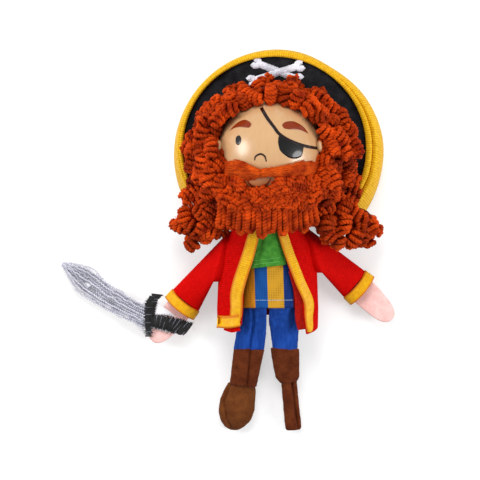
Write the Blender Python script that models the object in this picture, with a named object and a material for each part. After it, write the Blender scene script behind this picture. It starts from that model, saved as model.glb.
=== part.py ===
"""A pirate finger puppet, lying on its back: +Z is the side with the face, +Y runs to the top of the hat.

The head is a wooden ball on the gathered neck of a cloth finger tube. Coat, sleeves, trousers and boots
are sewn around the tube, and the wig, beard and hat are fixed to the ball. Sizes are in millimetres.
"""

from math import acos, cos, degrees, pi, radians, sin, sqrt

import bmesh
import bpy
import numpy as np
from mathutils import Vector

MM = 0.001

# Fits
GAP = 0.35            # sewn or glued pieces, face to face
WIG_GAP = 0.6         # yarn and what it lies on
NECK_CLEARANCE = 0.4  # neck in the hole of the ball

# Head
HEAD_RADIUS = 20.0
NECK_HOLE_RADIUS = 5.0
NECK_HOLE_DEPTH = 6.0
EAR_RADIUS = 2.3
EAR_THICK = 1.2
PAINT_THICK = 0.25

# Hat
HAT_BACK_RADIUS = 37.2
HAT_BACK_THICK = 1.2
HAT_FRONT_RADIUS = 33.4
HAT_FRONT_THICK = 1.2
HAT_DEPTH = 10.0       # floor to the front felt's face
HAT_BACK_SHIFT = (3.4, -0.2)
HAT_FRONT_SHIFT = (1.8, 2.0)
HAT_START_DEG = -34.0
HAT_END_DEG = 203.0
RIBBON_THICK = 0.7
RIBBON_BULGE = 1.0
RIBBON_FOLD = 1.4      # the ribbon stands this far in front of the felt
BONE_WIDTH = 2.4
BONE_THICK = 0.8
BONE_KNOB_RADIUS = 1.1
BONE_RISE = 30.1       # centre of the crossed bones above the head's centre
BONE_SHIFT = 3.1
BONE_ARMS = ((-24.0, 8.4), (14.0, 8.0), (162.0, 8.2), (199.0, 10.4))  # direction, length

# Yarn
CURL_RADIUS = 2.75     # helix of one corkscrew curl
CURL_STRAND = 1.5
CURL_PITCH = 3.6
CURL_TURNS = 2.0
WIG_THICK = 3.6
YARN_VOXEL = 0.85
WIG_FACES = 2700
BEARD_LOOPS = 9
BEARD_WIDTH = 36.0
BEARD_LENGTH = 20.0
BEARD_THICK = 3.6
BEARD_ROOT = 10.4      # top of the beard below the head's centre
BEARD_DROP = 8.5       # from the chin to the loops' ends, towards the floor
MOUSTACHE_THICK = 2.7

# Body
BODY_X = 15.6
COAT_X = 14.6
TUBE_WIDTH = 24.0
TUBE_DEPTH = 15.2
TUBE_WALL = 0.8
TUBE_LENGTH = 33.0     # hem to shoulder
SHOULDER_Y = 8.2
NECK_LENGTH = 9.4
COAT_WIDTH = 36.6
COAT_WALL = 0.9
COAT_EASE = 0.5        # coat over the tube
COAT_HEM_DROP = 6.2    # coat below the hem of the tube
COAT_TAIL_DROP = 3.4   # the free-hand tail below the rest of the coat
TRIM_WIDTH = 3.9
TRIM_THICK = 0.6
CRAVAT_THICK = 1.1
CRAVAT_TOP_DROP = 3.0  # below the shoulder
CRAVAT_FOOT_DROP = 18.6
CRAVAT_SLANT = 1.2     # its foot rises towards the free hand

# Arms
SLEEVE_ROOT_WIDTH = 16.5
SLEEVE_CUFF_WIDTH = 12.5
SLEEVE_ROOT_THICK = 9.0
SLEEVE_CUFF_THICK = 6.4
SLEEVE_WALL = 0.9
SLEEVE_EASE = 0.85     # sleeve head beside the coat's side
SLEEVE_SOCKET = 5.0    # how deep the hand is sewn in
SWORD_SLEEVE_DEG = 231.2
SWORD_SLEEVE_LENGTH = 20.0
SWORD_SLEEVE_DROP = 7.0  # shoulder to the top of the sleeve head
FREE_SLEEVE_DEG = -40.0
FREE_SLEEVE_LENGTH = 20.0
FREE_SLEEVE_DROP = 3.7
CUFF_LENGTH = 4.0
CUFF_STEP = 0.45       # ribbon cuff stands proud of the sleeve
HAND_LENGTH = 13.5
HAND_WIDTH = 8.8
HAND_THICK = 1.8
SWORD_HAND_DEG = 241.0
FREE_HAND_DEG = -44.0
BACKING_THICK = 0.5
THREAD_THICK = 0.8
SWORD_TIP_DROP = 4.4
SWORD_REACH = 36.0     # from the hand's edge to the tip, over which it drops
HAND_EDGE = 8.0        # the hand's edge beside the hilt

# Legs
LEG_LENGTH = 15.0      # trouser leg below the hem of the tube
LEG_THICK = 5.2
LEG_SEWN_IN = 4.0
ANKLE_Z = 6.9
SHAFT_LENGTH = 12.6
BOOT_WIDTH = 10.8
FOOT_LENGTH = 15.6
FOOT_WIDTH = 13.2
FOOT_THICK = 6.6
PEG_CUFF_LENGTH = 12.2
PEG_LENGTH = 16.4
PEG_WIDTH = 5.8
PEG_THICK = 3.8

# Places worked out from the sizes
HEM_Y = SHOULDER_Y - TUBE_LENGTH
NECK_SEAT_Y = SHOULDER_Y + 4.2
HEAD = Vector((15.2, NECK_SEAT_Y + sqrt(HEAD_RADIUS ** 2 - NECK_HOLE_RADIUS ** 2),
               HAT_BACK_THICK + GAP + HEAD_RADIUS))
HAT_BACK = (HEAD.x + HAT_BACK_SHIFT[0], HEAD.y + HAT_BACK_SHIFT[1])
HAT_FRONT = (HEAD.x + HAT_FRONT_SHIFT[0], HEAD.y + HAT_FRONT_SHIFT[1])
COAT_DEPTH = TUBE_DEPTH + 2 * (COAT_EASE + COAT_WALL)
HEM_Z = COAT_DEPTH / 2 + GAP + 0.55
TROUSER_Y = HEM_Y - LEG_LENGTH
COLOURS = {
    "varnished wood": ("E8C090", 0.25), "pink felt": ("F6C6C0", 0.9), "ginger yarn": ("CF4716", 0.9),
    "black felt": ("1E1E20", 0.95), "yellow ribbon": ("F2B90F", 0.6), "white thread": ("DADAE8", 0.6),
    "striped cotton": ("D99A2C", 0.85), "green cotton": ("3F9C35", 0.85), "red ribbed cloth": ("D11214", 0.8),
    "silver thread": ("B9B9CC", 0.5), "black thread": ("1C1C1C", 0.7), "white backing": ("ECECF0", 0.9),
    "blue cotton": ("1B46A5", 0.85), "brown felt": ("6B3A1C", 0.95), "brown paint": ("8E3410", 0.3),
    "black paint": ("1F2024", 0.25),
}


def clear_scene():
    for thing in list(bpy.data.objects):
        bpy.data.objects.remove(thing, do_unlink=True)


def material(finish):
    made = bpy.data.materials.get(finish)
    if made:
        return made
    code, roughness = COLOURS[finish]
    channels = [int(code[i:i + 2], 16) / 255 for i in (0, 2, 4)]
    linear = [((c + 0.055) / 1.055) ** 2.4 if c > 0.04045 else c / 12.92 for c in channels]
    made = bpy.data.materials.new(finish)
    made.use_nodes = True
    shader = made.node_tree.nodes["Principled BSDF"]
    shader.inputs["Base Color"].default_value = (*linear, 1)
    shader.inputs["Roughness"].default_value = roughness
    return made


def new_object(name, bm, finish, smooth_deg=45):
    """Turn a bmesh in millimetres into a named object in metres."""
    bmesh.ops.recalc_face_normals(bm, faces=bm.faces)
    bmesh.ops.triangulate(bm, faces=bm.faces)
    bmesh.ops.scale(bm, vec=(MM, MM, MM), verts=bm.verts)
    mesh = bpy.data.meshes.new(name)
    bm.to_mesh(mesh)
    bm.free()
    mesh.shade_smooth()
    mesh.set_sharp_from_angle(angle=radians(smooth_deg))
    mesh.materials.append(material(finish))
    thing = bpy.data.objects.new(name, mesh)
    bpy.context.collection.objects.link(thing)
    return thing


def between(table, at):
    """Read a table of rows whose first column rises, at a value between its rows."""
    rows = np.array(table, dtype=float)
    return [float(np.interp(at, rows[:, 0], rows[:, k])) for k in range(1, rows.shape[1])]


def smooth_path(points, per_span):
    """A soft curve through points of any length of row."""
    rows = [np.array(p, dtype=float) for p in points]
    rows = [2 * rows[0] - rows[1]] + rows + [2 * rows[-1] - rows[-2]]
    path = []
    for a, b, c, d in zip(rows, rows[1:], rows[2:], rows[3:]):
        for step in range(per_span):
            t = step / per_span
            path.append(0.5 * (2 * b + (c - a) * t + (2 * a - 5 * b + 4 * c - d) * t ** 2
                               + (3 * b - a - 3 * c + d) * t ** 3))
    return path + [rows[-2]]


def loft(bm, rings, ring_shut=False):
    """Skin a row of rings that have the same number of points; the ends are capped, or joined."""
    loops = [[bm.verts.new(p) for p in ring] for ring in rings]
    pairs = list(zip(loops, loops[1:]))
    if ring_shut:
        pairs.append((loops[-1], loops[0]))
    for low, high in pairs:
        for i in range(len(low)):
            j = (i + 1) % len(low)
            bm.faces.new((low[i], low[j], high[j], high[i]))
    if not ring_shut:
        bm.faces.new(loops[0])
        bm.faces.new(loops[-1][::-1])
    return bm


def pad(front, back, across, down):
    """A sheet with thickness: two surfaces of (u, v) from 0 to 1, joined round the edge."""
    bm = bmesh.new()
    sides = []
    for surface in (front, back):
        sides.append([[bm.verts.new(surface(i / across, k / down)) for i in range(across + 1)]
                      for k in range(down + 1)])
    for grid in sides:
        for k in range(down):
            for i in range(across):
                bm.faces.new((grid[k][i], grid[k][i + 1], grid[k + 1][i + 1], grid[k + 1][i]))
    top, under = sides
    rim = [(0, i) for i in range(across)] + [(k, across) for k in range(down)]
    rim += [(down, i) for i in range(across, 0, -1)] + [(k, 0) for k in range(down, 0, -1)]
    for (k, i), (m, j) in zip(rim, rim[1:] + rim[:1]):
        bm.faces.new((top[k][i], top[m][j], under[m][j], under[k][i]))
    return bm


def plate(outline, low, thick):
    """A flat piece: an outline raised from low(x, y) by its thickness."""
    return loft(bmesh.new(), [[(x, y, low(x, y) + lift) for x, y in outline] for lift in (0, thick)])


def ribbon_on(surface, points, lift, thick, per_span=4):
    """A strip along points of (x, y, half width) that follows a surface z(x, y)."""
    path = smooth_path(points, per_span)
    edges = []
    for k, (x, y, half) in enumerate(path):
        ahead = path[min(k + 1, len(path) - 1)]
        behind = path[max(k - 1, 0)]
        along = Vector((ahead[0] - behind[0], ahead[1] - behind[1])).normalized()
        edges.append((x - along.y * half, y + along.x * half, x + along.y * half, y - along.x * half))
    rings = []
    for ax, ay, bx, by in edges:
        mid = ((ax + bx) / 2, (ay + by) / 2)
        low = [(x, y, surface(x, y) + lift) for x, y in ((ax, ay), mid, (bx, by))]
        high = [(x, y, z + thick) for x, y, z in low]
        rings.append(low + high[::-1])
    return loft(bmesh.new(), rings)


def oval(middle, half_across, half_deep, count=16):
    """A ring about the Y axis."""
    x, y, z = middle
    turns = [2 * pi * i / count for i in range(count)]
    return [(x + half_across * cos(t), y, z + half_deep * sin(t)) for t in turns]


def flat_ring(edge_a, edge_b, z, thick, count=14):
    """A flattened ring between two edge points seen from above."""
    mid = ((edge_a[0] + edge_b[0]) / 2, (edge_a[1] + edge_b[1]) / 2)
    half = ((edge_a[0] - edge_b[0]) / 2, (edge_a[1] - edge_b[1]) / 2)
    ring = []
    for i in range(count):
        t = 2 * pi * i / count
        ring.append((mid[0] + half[0] * cos(t), mid[1] + half[1] * cos(t), z + thick / 2 * sin(t)))
    return ring


TUBE_STOPS = (0, 0.16, 0.37, 0.61, 0.8, 1)  # rows of the body, shoulder to hem


def body_section(y):
    """Middle height and the half width and depth of the tube and the coat at a height y of the body."""
    half_w, half_d = TUBE_WIDTH / 2, TUBE_DEPTH / 2
    coat_w, coat_d = COAT_WIDTH / 2, COAT_DEPTH / 2
    rise = HEAD.z - HEM_Z
    table = [
        (HEM_Y - COAT_HEM_DROP - COAT_TAIL_DROP, HEM_Z - 0.3, half_w, half_d, coat_w, coat_d),
        (HEM_Y, HEM_Z, half_w, half_d, coat_w + 0.2, coat_d),
        (HEM_Y + 0.39 * TUBE_LENGTH, HEM_Z + 0.11 * rise, half_w - 0.2, half_d, coat_w - 0.3, coat_d),
        (HEM_Y + 0.63 * TUBE_LENGTH, HEM_Z + 0.25 * rise, half_w - 0.8, half_d - 0.2, coat_w - 1.9,
         coat_d - 0.2),
        (HEM_Y + 0.84 * TUBE_LENGTH, HEM_Z + 0.45 * rise, half_w - 2.2, half_d - 0.7, coat_w - 4.7,
         coat_d - 0.7),
        (SHOULDER_Y, HEM_Z + 0.72 * rise, half_w - 5.2, half_d - 1.8, coat_w - 8.2, coat_d - 1.8),
    ]
    return between(table, y)


def ball_front(x, y):
    """The front of the ball, a sewing gap above its wood."""
    return HEAD.z + sqrt(max((HEAD_RADIUS + GAP) ** 2 - (x - HEAD.x) ** 2 - (y - HEAD.y) ** 2, 1))


def shirt_front(x, y):
    z, half_w, half_d = body_section(y)[:3]
    return z + half_d * sqrt(max(1 - ((x - BODY_X) / half_w) ** 2, 0))


def coat_front(x, y):
    z, _, _, half_w, half_d = body_section(y)
    return z + half_d * sqrt(max(1 - ((x - COAT_X) / half_w) ** 2, 0.02))


def make_head():
    bm = bmesh.new()
    rings = []
    hole_deg = degrees(acos(sqrt(1 - (NECK_HOLE_RADIUS / HEAD_RADIUS) ** 2)))
    steps = 16
    for k in range(steps + 1):
        turn = radians(3 + (177 - hole_deg) * k / steps)
        radius = HEAD_RADIUS * sin(turn)
        rings.append(oval((HEAD.x, HEAD.y + HEAD_RADIUS * cos(turn), HEAD.z), radius, radius, 32))
    seat = NECK_SEAT_Y
    for depth, radius in ((1.0, NECK_HOLE_RADIUS), (NECK_HOLE_DEPTH, NECK_HOLE_RADIUS)):
        rings.append(oval((HEAD.x, seat + depth, HEAD.z), radius, radius, 32))
    new_object("head_ball", loft(bm, rings), "varnished wood")


def make_ears():
    for name, side in (("ear_sword_side", -0.915), ("ear_free_side", 0.895)):
        x = HEAD.x + side * HEAD_RADIUS
        y = HEAD.y + 0.1 * HEAD_RADIUS
        steps = [(-0.96, 0.3), (-0.6, 0.8), (0, 1.0), (0.6, 0.8), (0.96, 0.3)]
        points = [(x, y + EAR_RADIUS * rise, EAR_RADIUS * 0.5 * wide) for rise, wide in steps]
        new_object(name, ribbon_on(ball_front, points, 0, EAR_THICK, 2), "pink felt")


def make_face_paint():
    """Fields of paint on the ball, in shares of its radius from its centre."""
    lip = -(BEARD_ROOT + 1.0) / HEAD_RADIUS
    fields = {
        "painted_eye": ("black paint", [(-0.562, 0.328, 0.012), (-0.562, 0.295, 0.04), (-0.562, 0.24, 0.047),
                                        (-0.562, 0.19, 0.04), (-0.562, 0.158, 0.012)]),
        "painted_brow_sword_side": ("brown paint", [(-0.745, 0.445, 0.008), (-0.66, 0.53, 0.03),
                                                    (-0.52, 0.575, 0.042), (-0.38, 0.555, 0.035)]),
        "painted_brow_free_side": ("brown paint", [(0.235, 0.545, 0.035), (0.37, 0.565, 0.042),
                                                   (0.53, 0.5, 0.03), (0.67, 0.395, 0.008)]),
        "painted_nose": ("brown paint", [(-0.285, -0.125, 0.008), (-0.25, -0.045, 0.014),
                                         (-0.17, -0.02, 0.016), (-0.1, -0.07, 0.014), (-0.06, -0.15, 0.008)]),
        "painted_lip": ("pink felt", [(-0.4, lip + 0.075, 0.012), (-0.31, lip + 0.02, 0.05),
                                      (-0.19, lip, 0.075), (-0.08, lip + 0.025, 0.05),
                                      (0.0, lip + 0.09, 0.012)]),
        "painted_patch_strap": ("black paint", [(-0.13, 0.81, 0.026), (-0.02, 0.63, 0.026),
                                                (0.18, 0.36, 0.026), (0.4, 0.2, 0.028), (0.63, 0.105, 0.026),
                                                (0.79, 0.07, 0.022)]),
        "painted_eye_patch": ("black paint", [(0.155, 0.21, 0.02), (0.19, 0.09, 0.105), (0.3, -0.005, 0.125),
                                              (0.43, -0.015, 0.115), (0.55, 0.02, 0.06),
                                              (0.61, 0.06, 0.015)]),
    }
    for name, (finish, shape) in fields.items():
        points = [(HEAD.x + x * HEAD_RADIUS, HEAD.y + y * HEAD_RADIUS, half * HEAD_RADIUS)
                  for x, y, half in shape]
        new_object(name, ribbon_on(ball_front, points, 0, PAINT_THICK, 3), finish)


def arc(centre, radius, start_deg, end_deg, steps):
    turns = [radians(start_deg + (end_deg - start_deg) * i / steps) for i in range(steps + 1)]
    return [(centre[0] + radius * cos(t), centre[1] + radius * sin(t)) for t in turns]


def make_hat():
    rear = arc(HAT_BACK, HAT_BACK_RADIUS, HAT_START_DEG, HAT_END_DEG, 48)
    new_object("hat_back", plate(rear, lambda x, y: 0, HAT_BACK_THICK), "black felt")

    front_low = HAT_DEPTH - HAT_FRONT_THICK
    ball_at_felt = sqrt(HEAD_RADIUS ** 2 - (HEAD.z - HAT_DEPTH) ** 2)
    cutout = ball_at_felt + GAP
    crescent = arc(HAT_FRONT, HAT_FRONT_RADIUS, HAT_START_DEG + 4, HAT_END_DEG - 3, 44)
    crescent += arc((HEAD.x, HEAD.y), cutout, 212, -38, 28)
    new_object("hat_front", plate(crescent, lambda x, y: front_low, HAT_FRONT_THICK), "black felt")

    rings = []
    steps = 42
    for k in range(steps + 1):
        turn = radians(HAT_START_DEG - 1 + (HAT_END_DEG + 2 - HAT_START_DEG) * k / steps)
        tip = min(1, 8 * min(k + 1, steps - k + 1) / steps)
        out = Vector((cos(turn), sin(turn), 0))
        fore = Vector((*HAT_FRONT, HAT_DEPTH + RIBBON_FOLD * tip)) + out * (HAT_FRONT_RADIUS + GAP)
        rear = Vector((*HAT_BACK, HAT_BACK_THICK + GAP)) + out * (HAT_BACK_RADIUS + GAP)
        inner = [fore.lerp(rear, s) + out * RIBBON_BULGE * sin(pi * s) * tip for s in (0, 0.3, 0.65, 1)]
        inner.append(Vector((rear.x, rear.y, 0)))
        outer = [p + out * RIBBON_THICK for p in inner]
        rings.append(inner + outer[::-1])
    new_object("hat_ribbon", loft(bmesh.new(), rings), "yellow ribbon")


def make_crossbones():
    middle = (HEAD.x + BONE_SHIFT, HEAD.y + BONE_RISE)
    half = BONE_WIDTH / 2
    outline = []
    for k, (turn_deg, length) in enumerate(BONE_ARMS):
        turn = radians(turn_deg)
        near_deg = (BONE_ARMS[(k + 1) % len(BONE_ARMS)][0] - turn_deg) % 360 / 2
        knob = BONE_KNOB_RADIUS
        neck = length - 2.1 * knob
        arm = [(neck, -half)]
        for side in (-1, 1):
            sweep = range(-100, 41, 28) if side < 0 else range(-40, 101, 28)
            arm += [(length - knob * (0.9 - cos(radians(a))), knob * (0.75 * side + sin(radians(a))))
                    for a in sweep]
        arm.append((neck, half))
        arm.append((half * cos(radians(near_deg)) / sin(radians(near_deg)), half))
        outline += [(middle[0] + a * cos(turn) - b * sin(turn), middle[1] + a * sin(turn) + b * cos(turn))
                    for a, b in arm]
    low = HAT_DEPTH + GAP
    new_object("crossbones", plate(outline, lambda x, y: low, BONE_THICK), "white thread")


def make_moustache():
    half = 17.2

    def edge(u):
        x = HEAD.x + 1.0 + half * (2 * u - 1)
        side = abs(2 * u - 1)
        high = HEAD.y - 5.2 + 3.4 * side ** 1.3
        low = HEAD.y - BEARD_ROOT + 1.7 + 0.6 * side ** 6
        return x, low, high

    def surface(lift):
        def place(u, v):
            x, low, high = edge(u)
            y = high + (low - high) * v
            taper = sqrt(max(1 - (2 * u - 1) ** 4, 0.05))
            plump = lift * taper * (0.25 + 0.75 * sin(pi * v)) * (1 + 0.1 * cos(6 * pi * v))
            return x, y, ball_front(x, y) + plump
        return place

    new_object("moustache", pad(surface(MOUSTACHE_THICK), surface(0), 18, 7), "ginger yarn")


def beard_back(x, y):
    """The back of the beard: on the ball, and hanging from the chin below it."""
    chin = HEAD.y - 0.7 * HEAD_RADIUS
    hang = ball_front(HEAD.x, max(y, chin))
    if y < chin:
        hang -= BEARD_DROP * (chin - y) / (chin - (HEAD.y - BEARD_ROOT - BEARD_LENGTH))
    return max(hang - 0.031 * (x - HEAD.x) ** 2, ball_front(x, y))


def make_beard():
    half = BEARD_WIDTH / 2

    def place(u, v, thick):
        loop = min(int(u * BEARD_LOOPS), BEARD_LOOPS - 1)
        across = 2 * (u * BEARD_LOOPS - loop) - 1
        side = abs(2 * (loop + 0.5) / BEARD_LOOPS - 1)
        x = HEAD.x - 0.9 + half * (2 * u - 1) * (0.92 + 0.08 * v)
        dip = 3.2 * max(0, 1 - ((x - HEAD.x + 3.9) / 5.6) ** 2)
        top = HEAD.y - BEARD_ROOT - dip
        tip = HEAD.y - BEARD_ROOT - BEARD_LENGTH + 3.5 * side ** 3 + 0.9 * (loop % 2)
        rounding = half / BEARD_LOOPS * (1 - sqrt(max(1 - across ** 2, 0)))
        y = top + (tip + 1.6 * rounding - top) * v
        ridge = 0.42 + 0.58 * sqrt(max(1 - across ** 2, 0))
        thin = sqrt(max(1 - max(0, (v - 0.8) / 0.2) ** 2 * 0.85, 0))
        return x, y, beard_back(x, y) + thick * ridge * thin

    front = pad(lambda u, v: place(u, v, BEARD_THICK), lambda u, v: place(u, v, 0), BEARD_LOOPS * 4, 7)
    new_object("beard", front, "ginger yarn")


def body_rings(wall, stops, count=24):
    rings = []
    for y in stops:
        z, half_w, half_d = body_section(y)[:3]
        rings.append(oval((BODY_X, y, z), half_w - wall, half_d - wall, count))
    return rings


def make_tube():
    """The finger tube, open at its hem and gathered into the neck that is glued in the ball."""
    neck_radius = NECK_HOLE_RADIUS - NECK_CLEARANCE
    neck_top = SHOULDER_Y + NECK_LENGTH
    stops = [SHOULDER_Y - TUBE_LENGTH * s for s in TUBE_STOPS]
    rings = [oval((HEAD.x, y, HEAD.z), neck_radius, neck_radius, 24) for y in (neck_top, NECK_SEAT_Y - 0.6)]
    rings += body_rings(0, stops)
    rings += body_rings(TUBE_WALL, stops[:1:-1])
    end = rings[-1]
    middle = sum((Vector(p) for p in end), Vector()) / len(end)
    rings.append([tuple(middle.lerp(Vector(p), 0.5) + Vector((0, 4.0, 1.2))) for p in end])
    new_object("finger_tube", loft(bmesh.new(), rings), "striped cotton")


def make_cravat():
    top, foot = SHOULDER_Y - CRAVAT_TOP_DROP, SHOULDER_Y - CRAVAT_FOOT_DROP

    def surface(lift):
        def place(u, v):
            y = top + (foot + CRAVAT_SLANT * u - top) * v
            left = max(BODY_X - 3.8 - 3.2 * v, front_edge(y, True) + 2 * GAP)
            right = min(BODY_X + 2.0 + 2.0 * v, front_edge(y, False) - 2 * GAP)
            x = left + (right - left) * u
            fold = 0.25 * cos(5 * pi * u) if lift else 0
            return x, y, shirt_front(x, y) + GAP + lift + fold
        return place

    new_object("cravat", pad(surface(CRAVAT_THICK), surface(0), 10, 6), "green cotton")


def front_edge(y, sword_side):
    """The x of the coat's front edge, from its middle by the height below the shoulder."""
    if sword_side:
        edge = [(-42.0, -10.3), (-32.1, -9.4), (-23.3, -9.0), (-14.6, -5.7), (-5.1, -3.4), (0.0, -2.2)]
    else:
        edge = [(-43.0, 15.7), (-35.0, 14.4), (-29.2, 12.3), (-20.4, 8.5), (-14.6, 6.5), (-5.8, 3.8),
                (0.0, 2.4)]
    return COAT_X + between(edge, y - SHOULDER_Y)[0]


def make_coat():
    """The coat's shell, with its rows where the tube has its own so that the two stay clear."""
    rows = sorted({s / 2 + t / 2 for s, t in zip(TUBE_STOPS, TUBE_STOPS[1:])} | set(TUBE_STOPS))
    tail_rows = 2

    def place(u, v, inset):
        turn_back = 0.5 + 0.5 * cos(2 * pi * u)
        drop = COAT_HEM_DROP + COAT_TAIL_DROP * max(0, (u - 0.8) / 0.2)
        row = round(v * (len(rows) - 1 + tail_rows))
        past = max(row - len(rows) + 1, 0) / tail_rows
        y = SHOULDER_Y - TUBE_LENGTH * rows[min(row, len(rows) - 1)] - drop * past
        z, _, _, half_w, half_d = body_section(y)
        start = acos((front_edge(y, True) - COAT_X) / half_w)
        end = 2 * pi + acos((front_edge(y, False) - COAT_X) / half_w)
        t = start + (end - start) * u
        flute = 0.35 * v * (1 - turn_back) * cos(14 * t)
        reach = (half_w - inset + flute, half_d - inset)
        return COAT_X + reach[0] * cos(t), y, z + reach[1] * sin(t)

    down = len(rows) - 1 + tail_rows
    shell = pad(lambda u, v: place(u, v, 0), lambda u, v: place(u, v, COAT_WALL), 30, down)
    new_object("coat_body", shell, "red ribbed cloth")


def make_front_trims():
    half = TRIM_WIDTH / 2
    low = HEM_Y - COAT_HEM_DROP
    for name, sword_side, last in (("front_trim_sword_side", True, low + 4.3),
                                   ("front_trim_free_side", False, low - COAT_TAIL_DROP + 0.8)):
        stops = [SHOULDER_Y - 4.6 + (last - SHOULDER_Y + 4.6) * s for s in (0, 0.25, 0.5, 0.7, 0.85, 1)]
        points = []
        for y in stops:
            width = half if sword_side or y > HEM_Y else half * (1 - 0.55 * (HEM_Y - y) / (HEM_Y - last))
            inward = -width if sword_side else width
            points.append((front_edge(y, sword_side) + inward, y, width))
        new_object(name, ribbon_on(coat_front, points, GAP, TRIM_THICK), "yellow ribbon")
    hem = [(COAT_X - 0.95 * COAT_WIDTH / 2, low + 2.0, 1.9), (COAT_X - 14.0, low + 1.7, 2.0),
           (COAT_X - 10.4, low + 1.9, 2.0)]
    new_object("hem_trim_sword_side", ribbon_on(coat_front, hem, GAP, TRIM_THICK), "yellow ribbon")


def sleeve_frame(side):
    """Root, direction and length of one sleeve; side is -1 for the sword, 1 for the free hand."""
    root_y = SHOULDER_Y - (SWORD_SLEEVE_DROP if side < 0 else FREE_SLEEVE_DROP)
    foot_y = root_y - SLEEVE_ROOT_WIDTH
    reach = [(body_section(y)[3], y) for y in np.linspace(root_y, foot_y, 12)]
    slope = (reach[-1][0] - reach[0][0]) / (foot_y - root_y)
    bulge = max(half_w - reach[0][0] - slope * (y - root_y) for half_w, y in reach)
    edges = [(COAT_X + side * (half_w + bulge + SLEEVE_EASE), y) for half_w, y in (reach[0], reach[-1])]
    sword = (SWORD_SLEEVE_DEG, SWORD_SLEEVE_LENGTH)
    turn, length = sword if side < 0 else (FREE_SLEEVE_DEG, FREE_SLEEVE_LENGTH)
    along = Vector((cos(radians(turn)), sin(radians(turn))))
    across = Vector((along.y, -along.x)) * side
    if across.y < 0:
        across = -across
    middle = Vector(((edges[0][0] + edges[1][0]) / 2, (root_y + foot_y) / 2))
    return edges, middle, along, across, length


def arm_ring(side, distance, width, thick, z):
    edges, middle, along, across, length = sleeve_frame(side)
    at = middle + along * distance
    a, b = at + across * width / 2, at - across * width / 2
    share = min(distance / (0.55 * length), 1)
    a = Vector(edges[0]).lerp(a, share)
    b = Vector(edges[1]).lerp(b, share)
    clear = side * (b.x - COAT_X) - body_section(b.y)[3] - SLEEVE_EASE
    b.x -= side * min(clear, 0)
    return flat_ring(a, b, z, thick)


def sleeve_z(side, distance):
    length = sleeve_frame(side)[4]
    shoulder = body_section(SHOULDER_Y - 12)[0]
    cuff = (SLEEVE_CUFF_THICK / 2 + CUFF_STEP) + GAP
    return shoulder + (cuff - shoulder) * min(distance / length, 1) ** 0.8


def make_arm(side, prefix, hand_deg):
    length = sleeve_frame(side)[4]
    rings = []
    for s in (0, 0.25, 0.5, 0.75, 1):
        width = SLEEVE_ROOT_WIDTH + (SLEEVE_CUFF_WIDTH - SLEEVE_ROOT_WIDTH) * s
        thick = SLEEVE_ROOT_THICK + (SLEEVE_CUFF_THICK - SLEEVE_ROOT_THICK) * s
        rings.append(arm_ring(side, s * length, width, thick, sleeve_z(side, s * length)))
    for back in (0, SLEEVE_SOCKET):
        rings.append(arm_ring(side, length - back, SLEEVE_CUFF_WIDTH - 2 * SLEEVE_WALL,
                              SLEEVE_CUFF_THICK - 2 * SLEEVE_WALL, sleeve_z(side, length - back)))
    new_object(prefix + "_sleeve", loft(bmesh.new(), rings), "red ribbed cloth")

    cuff_z = sleeve_z(side, length)
    cuff = []
    hem = GAP + CUFF_LENGTH
    for back, width, thick in ((GAP, CUFF_STEP, CUFF_STEP), (hem, CUFF_STEP + 0.3, CUFF_STEP),
                               (hem, -SLEEVE_WALL, -SLEEVE_WALL), (GAP, -SLEEVE_WALL, -SLEEVE_WALL)):
        cuff.append(arm_ring(side, length + back, SLEEVE_CUFF_WIDTH + 2 * width,
                             SLEEVE_CUFF_THICK + 2 * thick, cuff_z))
    new_object(prefix + "_cuff", loft(bmesh.new(), cuff, ring_shut=True), "yellow ribbon")

    _, middle, along, _, _ = sleeve_frame(side)
    start = middle + along * (length - SLEEVE_SOCKET + 1.4)
    wrist = middle + along * (length + CUFF_LENGTH)
    reach = Vector((cos(radians(hand_deg)), sin(radians(hand_deg))))
    half = HAND_WIDTH / 2
    points = [(*start, 0.72 * half)]
    for share, wide in ((0, 1), (0.4, 1), (0.75, 0.86), (0.95, 0.5), (1, 0.12)):
        points.append((*(wrist + reach * share * HAND_LENGTH), wide * half))

    def low(x, y):
        distance = (Vector((x, y)) - middle).dot(along)
        return sleeve_z(side, min(distance, length)) - HAND_THICK / 2

    new_object(prefix + "_hand", ribbon_on(low, points, 0, HAND_THICK, 3), "pink felt")
    return wrist, cuff_z + HAND_THICK / 2


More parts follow.
